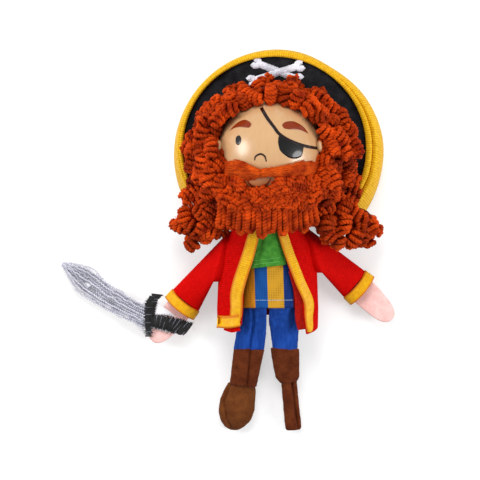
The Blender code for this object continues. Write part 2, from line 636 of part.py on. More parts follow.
def make_sword(wrist, hand_top):
    """The sword is machine embroidery on a stiff backing, sewn to the front of the hand."""
    hilt = wrist + Vector((0.8, -0.7))
    hand_edge = hilt.x - HAND_EDGE
    slope = SWORD_TIP_DROP / SWORD_REACH

    def height(lift):
        return lambda x, y: hand_top + GAP + lift - slope * (hand_edge - x)

    def placed(outline):
        return [(hilt.x + x, hilt.y + y) for x, y in outline]

    blade = [(-13.0, 2.0), (-16.8, 4.4), (-21.0, 7.2), (-25.0, 9.6), (-30.8, 14.6), (-33.0, 16.4),
             (-36.0, 17.4), (-42.0, 18.2), (-43.9, 17.5), (-43.5, 16.3), (-41.3, 12.1), (-38.6, 8.8),
             (-36.0, 7.0), (-30.2, 3.3), (-25.1, 0.4), (-19.2, -2.5), (-13.4, -5.6)]
    hilt_shape = [(-10.2, 6.3), (-6.6, 6.5), (-6.8, 5.1), (-9.0, 3.8), (-9.6, 0.4), (-9.7, -1.5),
                  (-2.0, -2.6), (3.1, -4.4), (4.2, -6.2), (3.6, -8.4), (-3.0, -6.9), (-10.1, -5.4),
                  (-10.5, -9.0), (-12.7, -9.0), (-12.6, -4.0), (-12.2, 0.4), (-11.5, 3.8)]
    backing = [(-11.0, 4.6), (-7.8, 3.2), (-7.4, -0.6), (-1.4, -1.6), (3.6, -3.9), (3.2, -7.8),
               (-10.4, -5.2), (-14.0, -5.0), (-19.4, -1.8), (-25.0, 1.0), (-31.0, 4.5), (-38.0, 9.2),
               (-42.6, 16.6), (-36.2, 16.4), (-31.6, 13.6), (-25.6, 8.8), (-17.0, 3.9)]
    new_object("sword_backing", plate(placed(backing), height(0), BACKING_THICK), "white backing")
    lift = BACKING_THICK + 0.3
    new_object("sword_blade", plate(placed(blade), height(lift), THREAD_THICK), "silver thread")
    new_object("sword_hilt", plate(placed(hilt_shape), height(lift), THREAD_THICK + 0.2), "black thread")


def leg_ring(x, y, half, z, thick, sewn):
    """One section of a trouser leg; sewn is 1 where it follows the inside of the tube's front wall."""
    ring = []
    for i in range(14):
        t = 2 * pi * i / 14
        px = x + half * cos(t)
        mid_z, half_w, half_d = body_section(max(y, HEM_Y))[:3]
        inside = 1 - ((px - BODY_X) / (half_w - TUBE_WALL)) ** 2
        wall = mid_z + (half_d - TUBE_WALL) * sqrt(max(inside, 0.02)) - GAP - thick / 2
        ring.append((px, y, wall * sewn + z * (1 - sewn) + thick / 2 * sin(t)))
    return ring


def make_trousers():
    """Each leg by rows from the tube down: middle from the body's own, and half width."""
    legs = {"trouser_leg_boot_side": ((-6.1, 4.6), (-6.1, 4.7), (-6.5, 5.1), (-7.1, 5.5), (-7.9, 5.7)),
            "trouser_leg_peg_side": ((5.0, 5.6), (5.0, 5.7), (4.9, 5.6), (5.2, 5.1), (5.5, 4.5))}
    steps = ((-LEG_SEWN_IN, 1.3, 1), (0.2, 1.9, 1), (0.3 * LEG_LENGTH, 0.8 * LEG_THICK, 0.45),
             (0.62 * LEG_LENGTH, LEG_THICK, 0), (LEG_LENGTH, LEG_THICK, 0))
    for name, rows in legs.items():
        rings = []
        for (middle, half), (drop, thick, sewn) in zip(rows, steps):
            z = HEM_Z + (ANKLE_Z - HEM_Z) * max(drop, 0) / LEG_LENGTH
            rings.append(leg_ring(BODY_X + middle, HEM_Y - drop, half, z, thick, sewn))
        new_object(name, loft(bmesh.new(), rings), "blue cotton")


def make_boots():
    shaft_top = TROUSER_Y - GAP
    shaft_low = shaft_top - SHAFT_LENGTH
    x = BODY_X - 7.9
    half = BOOT_WIDTH / 2
    shaft = [flat_ring((x - half - 0.2, shaft_top), (x + half + 0.3, shaft_top - 0.6), ANKLE_Z, 5.6),
             flat_ring((x - half - 0.7, shaft_top - 5), (x + half - 0.9, shaft_top - 5.6), 5.9, 5.7),
             flat_ring((x - half - 1.7, shaft_low), (x + half - 2.6, shaft_low - 0.8), 4.4, 5.6)]
    new_object("boot_shaft", loft(bmesh.new(), shaft), "brown felt")

    foot_top = shaft_low - GAP
    mid = x - 4.6
    wide = FOOT_WIDTH / 2
    foot = []
    sections = ((0, 0.74, 0.8, 1.9), (0.12, 0.86, 0.9, 1.5), (0.35, 0.98, 1, 0.5), (0.6, 1, 1, 0),
                (0.8, 0.84, 0.86, -0.3), (0.93, 0.55, 0.6, -0.7), (1, 0.2, 0.24, -0.9))
    for s, share, thick, shift in sections:
        y = foot_top - FOOT_LENGTH * s
        tilt = 0.8 * (1 - s)
        foot.append(flat_ring((mid + shift - wide * share, y), (mid + shift + wide * share, y - tilt),
                              FOOT_THICK * max(thick, 0.7) / 2 + 0.2, FOOT_THICK * thick))
    new_object("boot_foot", loft(bmesh.new(), foot), "brown felt")

    peg_x = BODY_X + 5.4
    cuff_low = shaft_top - PEG_CUFF_LENGTH
    cuff = [flat_ring((peg_x - 5.2, shaft_top), (peg_x + 5.1, shaft_top - 0.3), ANKLE_Z, 5.4),
            flat_ring((peg_x - 4.7, shaft_top - 4), (peg_x + 5.2, shaft_top - 4.2), 5.9, 5.2),
            flat_ring((peg_x - 3.4, shaft_top - 10.2), (peg_x + 5.2, shaft_top - 9.9), 4.4, 4.7),
            flat_ring((peg_x - 1.5, cuff_low), (peg_x + 4.4, cuff_low + 0.6), 3.7, 4.2)]
    new_object("peg_boot_cuff", loft(bmesh.new(), cuff), "brown felt")
    peg_top = cuff_low - GAP
    half = PEG_WIDTH / 2
    peg = []
    for s, shift, share in ((0, 1.4, 0.9), (0.06, 1.5, 0.98), (0.5, 2.3, 1), (0.94, 3.1, 1.04),
                            (1, 3.2, 0.94)):
        y = peg_top - PEG_LENGTH * s
        z = 3.5 - 1.2 * s
        peg.append(flat_ring((peg_x + shift - half * share, y - 0.4), (peg_x + shift + half * share, y), z,
                             PEG_THICK * share))
    new_object("peg_leg", loft(bmesh.new(), peg), "brown felt")


def curl(bm, middle, axis, turn_start):
    """One corkscrew curl of yarn as a closed helical tube."""
    axis = Vector(axis).normalized()
    side = axis.orthogonal().normalized()
    other = axis.cross(side)
    steps = int(CURL_TURNS * 9)
    rings = []
    for k in range(steps + 1):
        t = turn_start + 2 * pi * CURL_TURNS * k / steps
        out = side * cos(t) + other * sin(t)
        rise = CURL_PITCH * CURL_TURNS * (k / steps - 0.5)
        at = Vector(middle) + out * CURL_RADIUS + axis * rise
        turns = [2 * pi * i / 6 for i in range(6)]
        rings.append([tuple(at + (out * cos(a) + axis * sin(a)) * CURL_STRAND) for a in turns])
    loft(bm, rings)


def hair_rows():
    """The curls, row by row from the face back: start, end, count, radius at the top and side, height."""
    reach = HEAD_RADIUS
    on_felt = HAT_DEPTH + CURL_RADIUS + CURL_STRAND + 0.8
    return ((8, 172, 10, reach + 0.6, reach + 3.2, HEAD.z + 11.5),
            (-30, 208, 15, reach + 4.0, reach + 7.0, HEAD.z + 5.0),
            (-44, 222, 17, reach + 4.4, reach + 10.0, on_felt),
            (-46, -16, 3, reach + 4.0, reach + 3.6, HEAD.z + 8.0),
            (196, 224, 3, reach + 4.0, reach + 3.2, HEAD.z + 8.0))


def hair_bunches():
    """The loose bunches over the shoulders, from the head's centre and the floor."""
    sword_side = [(-25.0, -17.5, 16.5), (-29.6, -21.0, 13.5), (-24.0, -21.5, 17.0), (-31.0, -25.6, 10.5),
                  (-25.6, -27.4, 15.0), (-22.4, -26.4, 18.0)]
    free_side = [(24.6, -17.5, 17.5), (20.8, -20.5, 21.0), (27.5, -20.5, 17.5), (32.0, -22.4, 13.5),
                 (21.6, -26.0, 21.0), (27.6, -26.6, 17.5), (33.0, -27.6, 13.5), (36.8, -26.0, 9.0),
                 (24.2, -30.0, 19.0), (30.4, -30.4, 15.5)]
    return sword_side, free_side


def weft(bm, points, radius):
    """A plain tube that carries a row of curls."""
    path = [Vector(p) for p in smooth_path(points, 2)]
    rings = []
    for k, at in enumerate(path):
        along = (path[min(k + 1, len(path) - 1)] - path[max(k - 1, 0)]).normalized()
        side = along.cross(Vector((0, 0, 1))).normalized()
        up = side.cross(along)
        turns = [2 * pi * i / 8 for i in range(8)]
        rings.append([tuple(at + (side * cos(a) + up * sin(a)) * radius) for a in turns])
    loft(bm, rings)


def wig_cap():
    """The band of yarn that lies on the ball behind the face."""
    def surface(radius):
        def place(u, v):
            turn = radians(-40 + 260 * u)
            lean = radians(52 + 64 * v)
            return (HEAD.x + radius * sin(lean) * cos(turn), HEAD.y + radius * sin(lean) * sin(turn),
                    HEAD.z + radius * cos(lean))
        return place
    return pad(surface(HEAD_RADIUS + WIG_THICK), surface(HEAD_RADIUS - 0.5), 40, 10)


def grown_copy(thing, gap):
    """A copy pushed out by a gap, as a cutter."""
    bm = bmesh.new()
    bm.from_mesh(thing.data)
    bm.normal_update()
    moves = [(v, v.normal * (gap * MM * max(v.calc_shell_factor(), 1))) for v in bm.verts]
    for vert, move in moves:
        vert.co += move
    mesh = bpy.data.meshes.new(thing.name + " clearance")
    bm.to_mesh(mesh)
    bm.free()
    cutter = bpy.data.objects.new(thing.name + " clearance", mesh)
    bpy.context.collection.objects.link(cutter)
    cutter.hide_render = True
    cutter.display_type = "WIRE"
    return cutter


def evaluated(thing):
    bpy.context.view_layer.update()
    ready = thing.evaluated_get(bpy.context.evaluated_depsgraph_get())
    return bpy.data.meshes.new_from_object(ready)


def largest_piece(mesh):
    """Keep the largest connected piece of a mesh."""
    bm = bmesh.new()
    bm.from_mesh(mesh)
    waiting = set(bm.verts)
    pieces = []
    while waiting:
        front = [waiting.pop()]
        piece = set(front)
        while front:
            vert = front.pop()
            for edge in vert.link_edges:
                other = edge.other_vert(vert)
                if other in waiting:
                    waiting.discard(other)
                    piece.add(other)
                    front.append(other)
        pieces.append(piece)
    pieces.sort(key=len, reverse=True)
    for piece in pieces[1:]:
        bmesh.ops.delete(bm, geom=list(piece), context="VERTS")
    return bm


def close_slits(bm):
    """Close the slits that a cut can leave between two slivers."""
    bmesh.ops.delete(bm, geom=[edge for edge in bm.edges if not edge.link_faces], context="EDGES")
    bmesh.ops.holes_fill(bm, edges=[edge for edge in bm.edges if edge.is_boundary])


def make_wig(neighbours):
    """The wig: corkscrew curls of yarn on a band, cleared from everything that it lies on."""
    bm = wig_cap()
    for start, end, count, top, side, z in hair_rows():
        middles = []
        for k in range(count):
            turn = radians(start + (end - start) * k / (count - 1))
            reach = top + (side - top) * cos(turn) ** 2
            out = Vector((cos(turn), sin(turn), 0))
            middles.append((HEAD.x + out.x * reach, HEAD.y + out.y * reach, z))
            curl(bm, middles[-1], out + Vector((0, 0, 0.7 * (-1) ** k)), 1.3 * k)
        weft(bm, middles, 0.8 * CURL_RADIUS)
    for bunch in hair_bunches():
        middles = [(HEAD.x + x, HEAD.y + y, z) for x, y, z in bunch]
        for k, middle in enumerate(middles):
            curl(bm, middle, (0.5 * (-1) ** k, -1, 0.2), 1.7 * k)
        weft(bm, middles, 0.8 * CURL_RADIUS)
        side = 1 if bunch[0][0] > 0 else -1
        temple = (HEAD.x + side * 0.95 * HEAD_RADIUS, HEAD.y - 0.6 * HEAD_RADIUS, HEAD.z)
        weft(bm, [temple, middles[0], middles[1]], 0.8 * CURL_RADIUS)
    bmesh.ops.scale(bm, vec=(MM, MM, MM), verts=bm.verts)
    bmesh.ops.recalc_face_normals(bm, faces=bm.faces)
    rough = bpy.data.meshes.new("wig rough")
    bm.to_mesh(rough)
    bm.free()
    work = bpy.data.objects.new("wig work", rough)
    bpy.context.collection.objects.link(work)
    merge = work.modifiers.new("merge", "REMESH")
    merge.mode = "VOXEL"
    merge.voxel_size = YARN_VOXEL * MM
    merged = largest_piece(evaluated(work))
    merged.to_mesh(work.data)
    merged.free()
    work.modifiers.clear()
    thin = work.modifiers.new("thin", "DECIMATE")
    thin.ratio = min(1, WIG_FACES / (2 * len(work.data.polygons)))
    thinned = evaluated(work)
    work.modifiers.clear()
    work.data = thinned
    for thing in neighbours:
        cut = work.modifiers.new("clear " + thing.name, "BOOLEAN")
        cut.operation = "DIFFERENCE"
        cut.solver = "EXACT"
        over_bones = GAP + BONE_THICK if thing.name == "hat_front" else 0
        cut.object = grown_copy(thing, WIG_GAP + over_bones)
    cut_mesh = evaluated(work)
    for cut in list(work.modifiers):
        bpy.data.objects.remove(cut.object, do_unlink=True)
    bpy.data.objects.remove(work, do_unlink=True)
    bm = largest_piece(cut_mesh)
    bmesh.ops.dissolve_degenerate(bm, dist=0.00002, edges=bm.edges)
    close_slits(bm)
    bmesh.ops.scale(bm, vec=(1 / MM, 1 / MM, 1 / MM), verts=bm.verts)
    new_object("wig", bm, "ginger yarn", 60)


def centre_on_floor():
    """The frame's origin: the middle of the whole puppet's box, on the surface that it lies on."""
    things = [thing for thing in bpy.data.objects if thing.type == "MESH"]
    points = [v.co for thing in things for v in thing.data.vertices]
    low = [min(p[k] for p in points) for k in range(3)]
    high = [max(p[k] for p in points) for k in range(3)]
    shift = Vector(((low[0] + high[0]) / 2, (low[1] + high[1]) / 2, low[2]))
    for thing in things:
        for vert in thing.data.vertices:
            vert.co -= shift


def build():
    clear_scene()
    make_hat()
    make_crossbones()
    make_head()
    make_ears()
    make_face_paint()
    make_moustache()
    make_beard()
    make_tube()
    make_cravat()
    make_coat()
    make_front_trims()
    wrist, hand_top = make_arm(-1, "sword", SWORD_HAND_DEG)
    make_arm(1, "free", FREE_HAND_DEG)
    make_sword(wrist, hand_top)
    make_trousers()
    make_boots()
    under_wig = ["hat_back", "hat_front", "hat_ribbon", "head_ball", "ear_sword_side",
                 "ear_free_side", "moustache", "beard", "finger_tube", "coat_body", "sword_sleeve",
                 "free_sleeve", "front_trim_sword_side", "front_trim_free_side", "cravat",
                 "painted_patch_strap", "painted_brow_sword_side", "painted_brow_free_side"]
    make_wig([bpy.data.objects[name] for name in under_wig])
    centre_on_floor()


build()
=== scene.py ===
"""The looks of a pirate finger puppet that lies on its back, in millimetres until a piece is made.

+Z is the side with the face, +Y runs to the top of the hat, and HEAD is the middle of the wooden ball.
"""

from math import acos, ceil, cos, degrees, exp, pi, radians, sin, sqrt
from random import Random

import bmesh
import bpy
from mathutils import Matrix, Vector, noise
from mathutils.bvhtree import BVHTree


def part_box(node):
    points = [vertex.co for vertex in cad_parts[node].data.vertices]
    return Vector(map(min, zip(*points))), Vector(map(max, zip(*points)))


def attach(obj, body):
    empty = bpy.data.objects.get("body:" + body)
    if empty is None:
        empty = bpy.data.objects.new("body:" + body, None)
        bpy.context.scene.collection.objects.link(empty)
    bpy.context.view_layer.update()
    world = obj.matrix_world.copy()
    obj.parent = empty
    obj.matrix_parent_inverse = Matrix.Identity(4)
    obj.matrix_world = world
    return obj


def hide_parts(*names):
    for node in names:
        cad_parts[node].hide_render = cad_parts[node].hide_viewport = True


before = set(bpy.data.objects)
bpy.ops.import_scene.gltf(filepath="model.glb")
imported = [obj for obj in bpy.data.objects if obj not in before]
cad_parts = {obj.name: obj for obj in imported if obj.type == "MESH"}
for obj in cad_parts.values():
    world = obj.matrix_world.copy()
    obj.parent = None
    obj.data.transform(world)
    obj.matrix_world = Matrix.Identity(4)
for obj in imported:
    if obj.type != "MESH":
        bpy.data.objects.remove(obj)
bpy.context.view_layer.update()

MM = 0.001
RNG = Random(11)

# Head, from the frame
BALL_LOW, BALL_HIGH = (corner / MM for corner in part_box("head_ball"))
HEAD_RADIUS = (BALL_HIGH.x - BALL_LOW.x) / 2
HEAD = Vector(((BALL_LOW.x + BALL_HIGH.x) / 2, BALL_HIGH.y - HEAD_RADIUS, (BALL_LOW.z + BALL_HIGH.z) / 2))
HEAD_STEPS = 96
NECK_HOLE_RADIUS, NECK_HOLE_DEPTH = 5.0, 6.0
PAINT_LIFT = 0.05
PAINT_THICK = 0.06

# Hat
HAT_BACK = Vector((HEAD.x + 3.4, HEAD.y - 0.2))
HAT_BACK_RADIUS = 37.2
HAT_FRONT = Vector((HEAD.x + 1.8, HEAD.y + 2.0))
HAT_FRONT_RADIUS = 33.4
HAT_THICK = 1.2
HAT_DEPTH = 10.0
HAT_ARC = (-34.0, 203.0)
RIBBON_THICK = 0.7
RIBBON_BULGE = 1.0
RIBBON_FOLD = 1.4

# Yarn
PLY_RADIUS = 0.54
PLY_OFFSET = 0.42      # ply centre to yarn centre
PLY_TWIST = 2.2        # length of one full twist of the yarn
PLY_STEP = 0.32
CURL_RADIUS = 1.9
CURL_PITCH = 1.75

# Body
SHOULDER_Y = HEAD.y - 23.565
SHIRT_LENGTH = 33.0
HEM_Y = SHOULDER_Y - SHIRT_LENGTH
BODY_X = HEAD.x + 0.4
COAT_X = HEAD.x - 0.6
COAT_WALL = 0.9
RIB_PITCH = 0.75
TRIM_WIDTH = 3.9
SLEEVE_LENGTH = 20.0
SLEEVE_SUNK = 4.2      # how far a sleeve starts inside the coat

# Studio
CAMERA_AT = Vector((HEAD.x - 10.78, HEAD.y - 31.76, 1015.0))
CAMERA_LENS = 205.5
SENSOR = 36.0
FLOOR_HALF = 3000
FLOOR_DROP = 0.2
PAPER_GREY = 0.64
PAPER_GLOW = 0.45      # only what the camera sees of the paper
WORLD_LIGHT = 0.42


# Shared shapes

def smooth_path(points, per_span):
    """A soft curve through points that all have the same number of values."""
    rows = [Vector(p) for p in points]
    rows = [2 * rows[0] - rows[1]] + rows + [2 * rows[-1] - rows[-2]]
    path = []
    for a, b, c, d in zip(rows, rows[1:], rows[2:], rows[3:]):
        for step in range(per_span):
            t = step / per_span
            path.append(0.5 * (2 * b + (c - a) * t + (2 * a - 5 * b + 4 * c - d) * t ** 2
                               + (3 * b - a - 3 * c + d) * t ** 3))
    return path + [rows[-2]]


def along(path, share):
    """The point at a share, 0 to 1, of a path's rows."""
    at = min(max(share, 0), 1) * (len(path) - 1)
    low = min(int(at), len(path) - 2)
    return path[low].lerp(path[low + 1], at - low)


def table_at(rows, value):
    """The other columns of a table whose first column rises, read between its rows."""
    if value <= rows[0][0]:
        return rows[0][1:]
    for low, high in zip(rows, rows[1:]):
        if value <= high[0]:
            t = (value - low[0]) / (high[0] - low[0])
            return [a + (b - a) * t for a, b in zip(low[1:], high[1:])]
    return rows[-1][1:]


def body_section(y):
    """Middle height, then half width and depth of the shirt and of the coat, at a y of the body."""
    rows = [(-9.6, 9.6, 12.0, 7.6, 18.3, 9.0), (0, 9.9, 12.0, 7.6, 18.5, 9.0),
            (12.87, 11.18, 11.8, 7.6, 18.0, 9.0), (20.79, 12.81, 11.2, 7.4, 16.4, 8.8),
            (27.72, 15.14, 9.8, 6.9, 13.6, 8.3), (33.0, 18.29, 6.8, 5.8, 10.1, 7.2)]
    return table_at(rows, y - HEM_Y)


def front_edge(y, sword_side):
    """The x of the coat's front edge."""
    if sword_side:
        rows = [(-10.0, -10.3), (-0.1, -9.4), (8.7, -9.0), (17.4, -5.7), (26.9, -3.4), (32.0, -2.2)]
    else:
        rows = [(-11.0, 14.8), (-3.8, 13.6), (3.9, 12.9), (8.8, 10.8), (14.6, 8.1), (20.5, 6.1), (27.3, 3.7),
                (32.0, 2.4)]
    return COAT_X + table_at(rows, y - HEM_Y + 1)[0]


def made(name, bm, material, nodes=()):
    """A finished bmesh in millimetres becomes a piece of the puppet."""
    bmesh.ops.scale(bm, vec=(MM, MM, MM), verts=bm.verts)
    mesh = bpy.data.meshes.new(name)
    bm.to_mesh(mesh)
    bm.free()
    return placed(name, mesh, material, nodes)


def placed(name, mesh, material, nodes):
    """A mesh in metres becomes a piece of the puppet."""
    mesh.shade_smooth()
    mesh.materials.clear()
    mesh.materials.append(material)
    piece = bpy.data.objects.new(name, mesh)
    bpy.context.scene.collection.objects.link(piece)
    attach(piece, "root")
    if nodes:
        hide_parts(*nodes)
    return piece


def solid(piece, thick, offset=-1.0, lining=None):
    """Give a sheet its thickness; a lining is a second material for its inner face, which the coat and
    sleeves make a darker red as painted shade.
    """
    wall = piece.modifiers.new("thickness", "SOLIDIFY")
    wall.thickness = thick * MM
    wall.offset = offset
    if lining:
        piece.data.materials.append(lining)
        wall.material_offset = 1
    return piece


def cloth(across, down, place, size, wrap=False):
    """A grid laid out by place(u, v) in millimetres, with its UVs in millimetres of the cut cloth."""
    bm = bmesh.new()
    bmesh.ops.create_grid(bm, x_segments=across, y_segments=down, size=0.5)
    uv = bm.loops.layers.uv.new("UVMap")
    for face in bm.faces:
        for loop in face.loops:
            spot = loop.vert.co
            loop[uv].uv = ((spot.x + 0.5) * size[0], (spot.y + 0.5) * size[1])
    for vert in bm.verts:
        vert.co = Vector(place(vert.co.x + 0.5, vert.co.y + 0.5))
    if wrap:
        bmesh.ops.remove_doubles(bm, verts=bm.verts, dist=0.001)
    bmesh.ops.recalc_face_normals(bm, faces=bm.faces)
    return bm


def front_of(bm):
    """The height of a garment's front over a spot, or of its nearest edge where the spot is off it."""
    tree = BVHTree.FromBMesh(bm)

    def height(x, y):
        middle = body_section(y)[0]
        hit = tree.ray_cast(Vector((x, y, 90)), Vector((0, 0, -1)))[0]
        if hit and hit.z > middle:
            return hit.z
        return tree.find_nearest(Vector((x, y, middle + 9)))[0].z
    return height


def face_up(bm):
    """Turn an open sheet so that it looks up at the camera's side."""
    if sum(face.normal.z * face.calc_area() for face in bm.faces) < 0:
        bmesh.ops.reverse_faces(bm, faces=bm.faces)
    bm.normal_update()
    return bm


def strip(points, height, lift, across=6, per_span=8, wave=None):
    """A band along points of (x, y, half width) that lies on a surface."""
    path = smooth_path(points, per_span)
    length = sum((Vector(b[:2]) - Vector(a[:2])).length for a, b in zip(path, path[1:]))

    def place(u, v):
        x, y, half = along(path, v)
        ahead, behind = along(path, v + 0.01), along(path, v - 0.01)
        run = Vector((ahead[0] - behind[0], ahead[1] - behind[1])).normalized()
        side = (u - 0.5) * 2 * half
        sx, sy = x - run.y * side, y + run.x * side
        ripple = wave(u, v) if wave else 0
        return sx, sy, height(sx, sy) + lift + ripple

    mean = sum(p[2] for p in path) / len(path)
    return face_up(cloth(across, len(path) - 1, place, (2 * mean, length)))


def field(upper, lower, height, lift, across=24, down=8):
    """A filled shape between two soft edges, laid on a surface."""
    top, foot = smooth_path(upper, 8), smooth_path(lower, 8)

    def place(u, v):
        spot = along(foot, u).lerp(along(top, u), v)
        return spot[0], spot[1], height(spot[0], spot[1]) + lift

    return face_up(cloth(across, down, place, (1, 1)))


def plate_of(outline, low, thick, bevel):
    """A flat piece with rounded edges, raised from low(x, y)."""
    bm = bmesh.new()
    bmesh.ops.contextual_create(bm, geom=[bm.verts.new((x, y, low(x, y))) for x, y in outline])
    face_up(bm)
    raised = bmesh.ops.extrude_face_region(bm, geom=bm.faces[:])
    top = [item for item in raised["geom"] if isinstance(item, bmesh.types.BMVert)]
    bmesh.ops.translate(bm, vec=(0, 0, thick), verts=top)
    bmesh.ops.recalc_face_normals(bm, faces=bm.faces)
    rims = [edge for edge in bm.edges if abs(edge.verts[0].co.z - edge.verts[1].co.z) < 0.6 * thick]
    bmesh.ops.bevel(bm, geom=rims, offset=bevel, offset_type="OFFSET", segments=2, profile=0.5,
                    affect="EDGES", material=-1)
    bmesh.ops.triangulate(bm, faces=[face for face in bm.faces if len(face.verts) > 4])
    return bm


def arc(centre, radius, start_deg, end_deg, steps=120):
    turns = [radians(start_deg + (end_deg - start_deg) * i / steps) for i in range(steps + 1)]
    return [Vector((centre[0] + radius * cos(t), centre[1] + radius * sin(t))) for t in turns]


def from_head(points):
    """Points given from the middle of the head."""
    return [(HEAD.x + p[0], HEAD.y + p[1], *p[2:]) for p in points]


# Yarn and thread

def resampled(path, step):
    """The same path with points an even step apart."""
    rows = [Vector(p) for p in path]
    out = [rows[0]]
    left = step
    for a, b in zip(rows, rows[1:]):
        length = (b - a).length
        run = 0.0
        while length - run > left:
            run += left
            out.append(a.lerp(b, run / length))
            left = step
        left -= length - run
    return out + [rows[-1]]


def wound(path, radius, pitch, start=0.0):
    """A line wound round another: the corkscrew of a curl, or one ply of a yarn."""
    out = []
    run = 0.0
    normal = None
    last = len(path) - 1
    for k, at in enumerate(path):
        tangent = (path[min(k + 1, last)] - path[max(k - 1, 0)]).normalized()
        if normal is None:
            normal = tangent.orthogonal().normalized()
        else:
            run += (at - path[k - 1]).length
            normal = (normal - tangent * normal.dot(tangent)).normalized()
        turn = start + 2 * pi * run / pitch
        out.append(at + (normal * cos(turn) + tangent.cross(normal) * sin(turn)) * radius)
    return out


def plies(path, radius=PLY_OFFSET, pitch=PLY_TWIST):
    """The two plies of a yarn, twisted round each other along a path."""
    fine = resampled(path, PLY_STEP)
    return [wound(fine, radius, pitch, start) for start in (0.0, pi)]


def threads(name, rows, radius, material, nodes=(), rounds=1, ends=None):
    """Round threads along rows of points, as one piece; ends is how thin each thread is at its tips."""
    curve = bpy.data.curves.new(name, "CURVE")
    curve.dimensions = "3D"
    curve.bevel_depth = radius * MM
    curve.bevel_resolution = rounds
    curve.use_fill_caps = True
    for row in rows:
        spline = curve.splines.new("POLY")
        spline.points.add(len(row) - 1)
        spline.points.foreach_set("co", [c for p in row for c in (p[0] * MM, p[1] * MM, p[2] * MM, 1)])
        if ends:
            last = len(row) - 1
            sizes = [ends + (1 - ends) * min(1, 1.5 * min(k, last - k)) for k in range(len(row))]
            spline.points.foreach_set("radius", sizes)
    holder = bpy.data.objects.new(name + " lines", curve)
    bpy.context.scene.collection.objects.link(holder)
    bpy.context.view_layer.update()
    mesh = bpy.data.meshes.new_from_object(holder.evaluated_get(bpy.context.evaluated_depsgraph_get()))
    bpy.data.objects.remove(holder, do_unlink=True)
    bpy.data.curves.remove(curve)
    mesh.name = name
    return placed(name, mesh, material, nodes)


# Finishes

def linear(code):
    """An sRGB hex colour as linear light."""
    channels = [int(code[i:i + 2], 16) / 255 for i in (0, 2, 4)]
    return [((c + 0.055) / 1.055) ** 2.4 if c > 0.04045 else c / 12.92 for c in channels] + [1.0]


def add(tree, kind, settings=None, links=None):
    """Add a node: settings go to its sockets or its own values, links join a socket to an input."""
    node = tree.nodes.new(kind)
    for key, value in (settings or {}).items():
        if isinstance(key, int) or key in node.inputs:
            node.inputs[key].default_value = value
        else:
            setattr(node, key, value)
    for key, socket in (links or {}).items():
        tree.links.new(socket, node.inputs[key])
    return node


def finish(name, roughness, **settings):
    """A new material, with its node tree and its shader."""
    material = bpy.data.materials.new(name)
    material.use_nodes = True
    tree = material.node_tree
    shader = tree.nodes["Principled BSDF"]
    shader.inputs["Roughness"].default_value = roughness
    for key, value in settings.items():
        shader.inputs[key.replace("_", " ")].default_value = value
    return material, tree, shader


def coloured(tree, shader, value, dark, light, low=None, high=None):
    """Colour the surface between two hex colours by a value, which low and high first stretch to 0 and 1."""
    if low is not None:
        value = add(tree, "ShaderNodeMapRange", {"From Min": low, "From Max": high},
                    {"Value": value}).outputs["Result"]
    ramp = add(tree, "ShaderNodeValToRGB", links={"Fac": value})
    for element, code in zip(ramp.color_ramp.elements, (dark, light)):
        element.color = linear(code)
    tree.links.new(ramp.outputs["Color"], shader.inputs["Base Color"])
    return ramp.outputs["Color"]


def relief(tree, shader, height, depth):
    """Raise the surface by a height socket; depth is in millimetres."""
    bump = add(tree, "ShaderNodeBump", {"Strength": 1.0, "Distance": depth * MM}, {"Height": height})
    tree.links.new(bump.outputs["Normal"], shader.inputs["Normal"])


def per_mm(size):
    """The scale of a noise on Object coordinates whose grains are this many millimetres."""
    return 1 / (size * MM)


def varnished_wood():
    """Turned wooden ball, sprayed skin colour and varnished: smooth, with broad soft highlights."""
    material, tree, shader = finish("varnished painted wood", 0.32, Coat_Weight=0.85, Coat_Roughness=0.26,
                                    Coat_IOR=1.5, IOR=1.46)
    spot = add(tree, "ShaderNodeTexCoord").outputs["Object"]
    stretch = add(tree, "ShaderNodeMapping", {"Scale": (1.0, 0.12, 1.0)}, {"Vector": spot})
    grain = add(tree, "ShaderNodeTexNoise", {"Scale": per_mm(1.4), "Detail": 4.0, "Roughness": 0.6},
                {"Vector": stretch.outputs["Vector"]})
    coloured(tree, shader, grain.outputs["Fac"], "C89A6A", "D4AB7C")
    relief(tree, shader, grain.outputs["Fac"], 0.01)
    return material


def paint(name, code):
    """Pad-printed enamel under the varnish: even, with a faint uneven edge to its gloss."""
    material, tree, shader = finish(name, 0.4, Coat_Weight=0.7, Coat_Roughness=0.12, Specular_IOR_Level=0.2)
    spot = add(tree, "ShaderNodeTexCoord").outputs["Object"]
    film = add(tree, "ShaderNodeTexNoise", {"Scale": per_mm(0.9), "Detail": 2.0}, {"Vector": spot})
    thin = "".join(f"{int(int(code[i:i + 2], 16) * 0.9):02X}" for i in (0, 2, 4))
    coloured(tree, shader, film.outputs["Fac"], thin, code)
    relief(tree, shader, film.outputs["Fac"], 0.006)
    return material


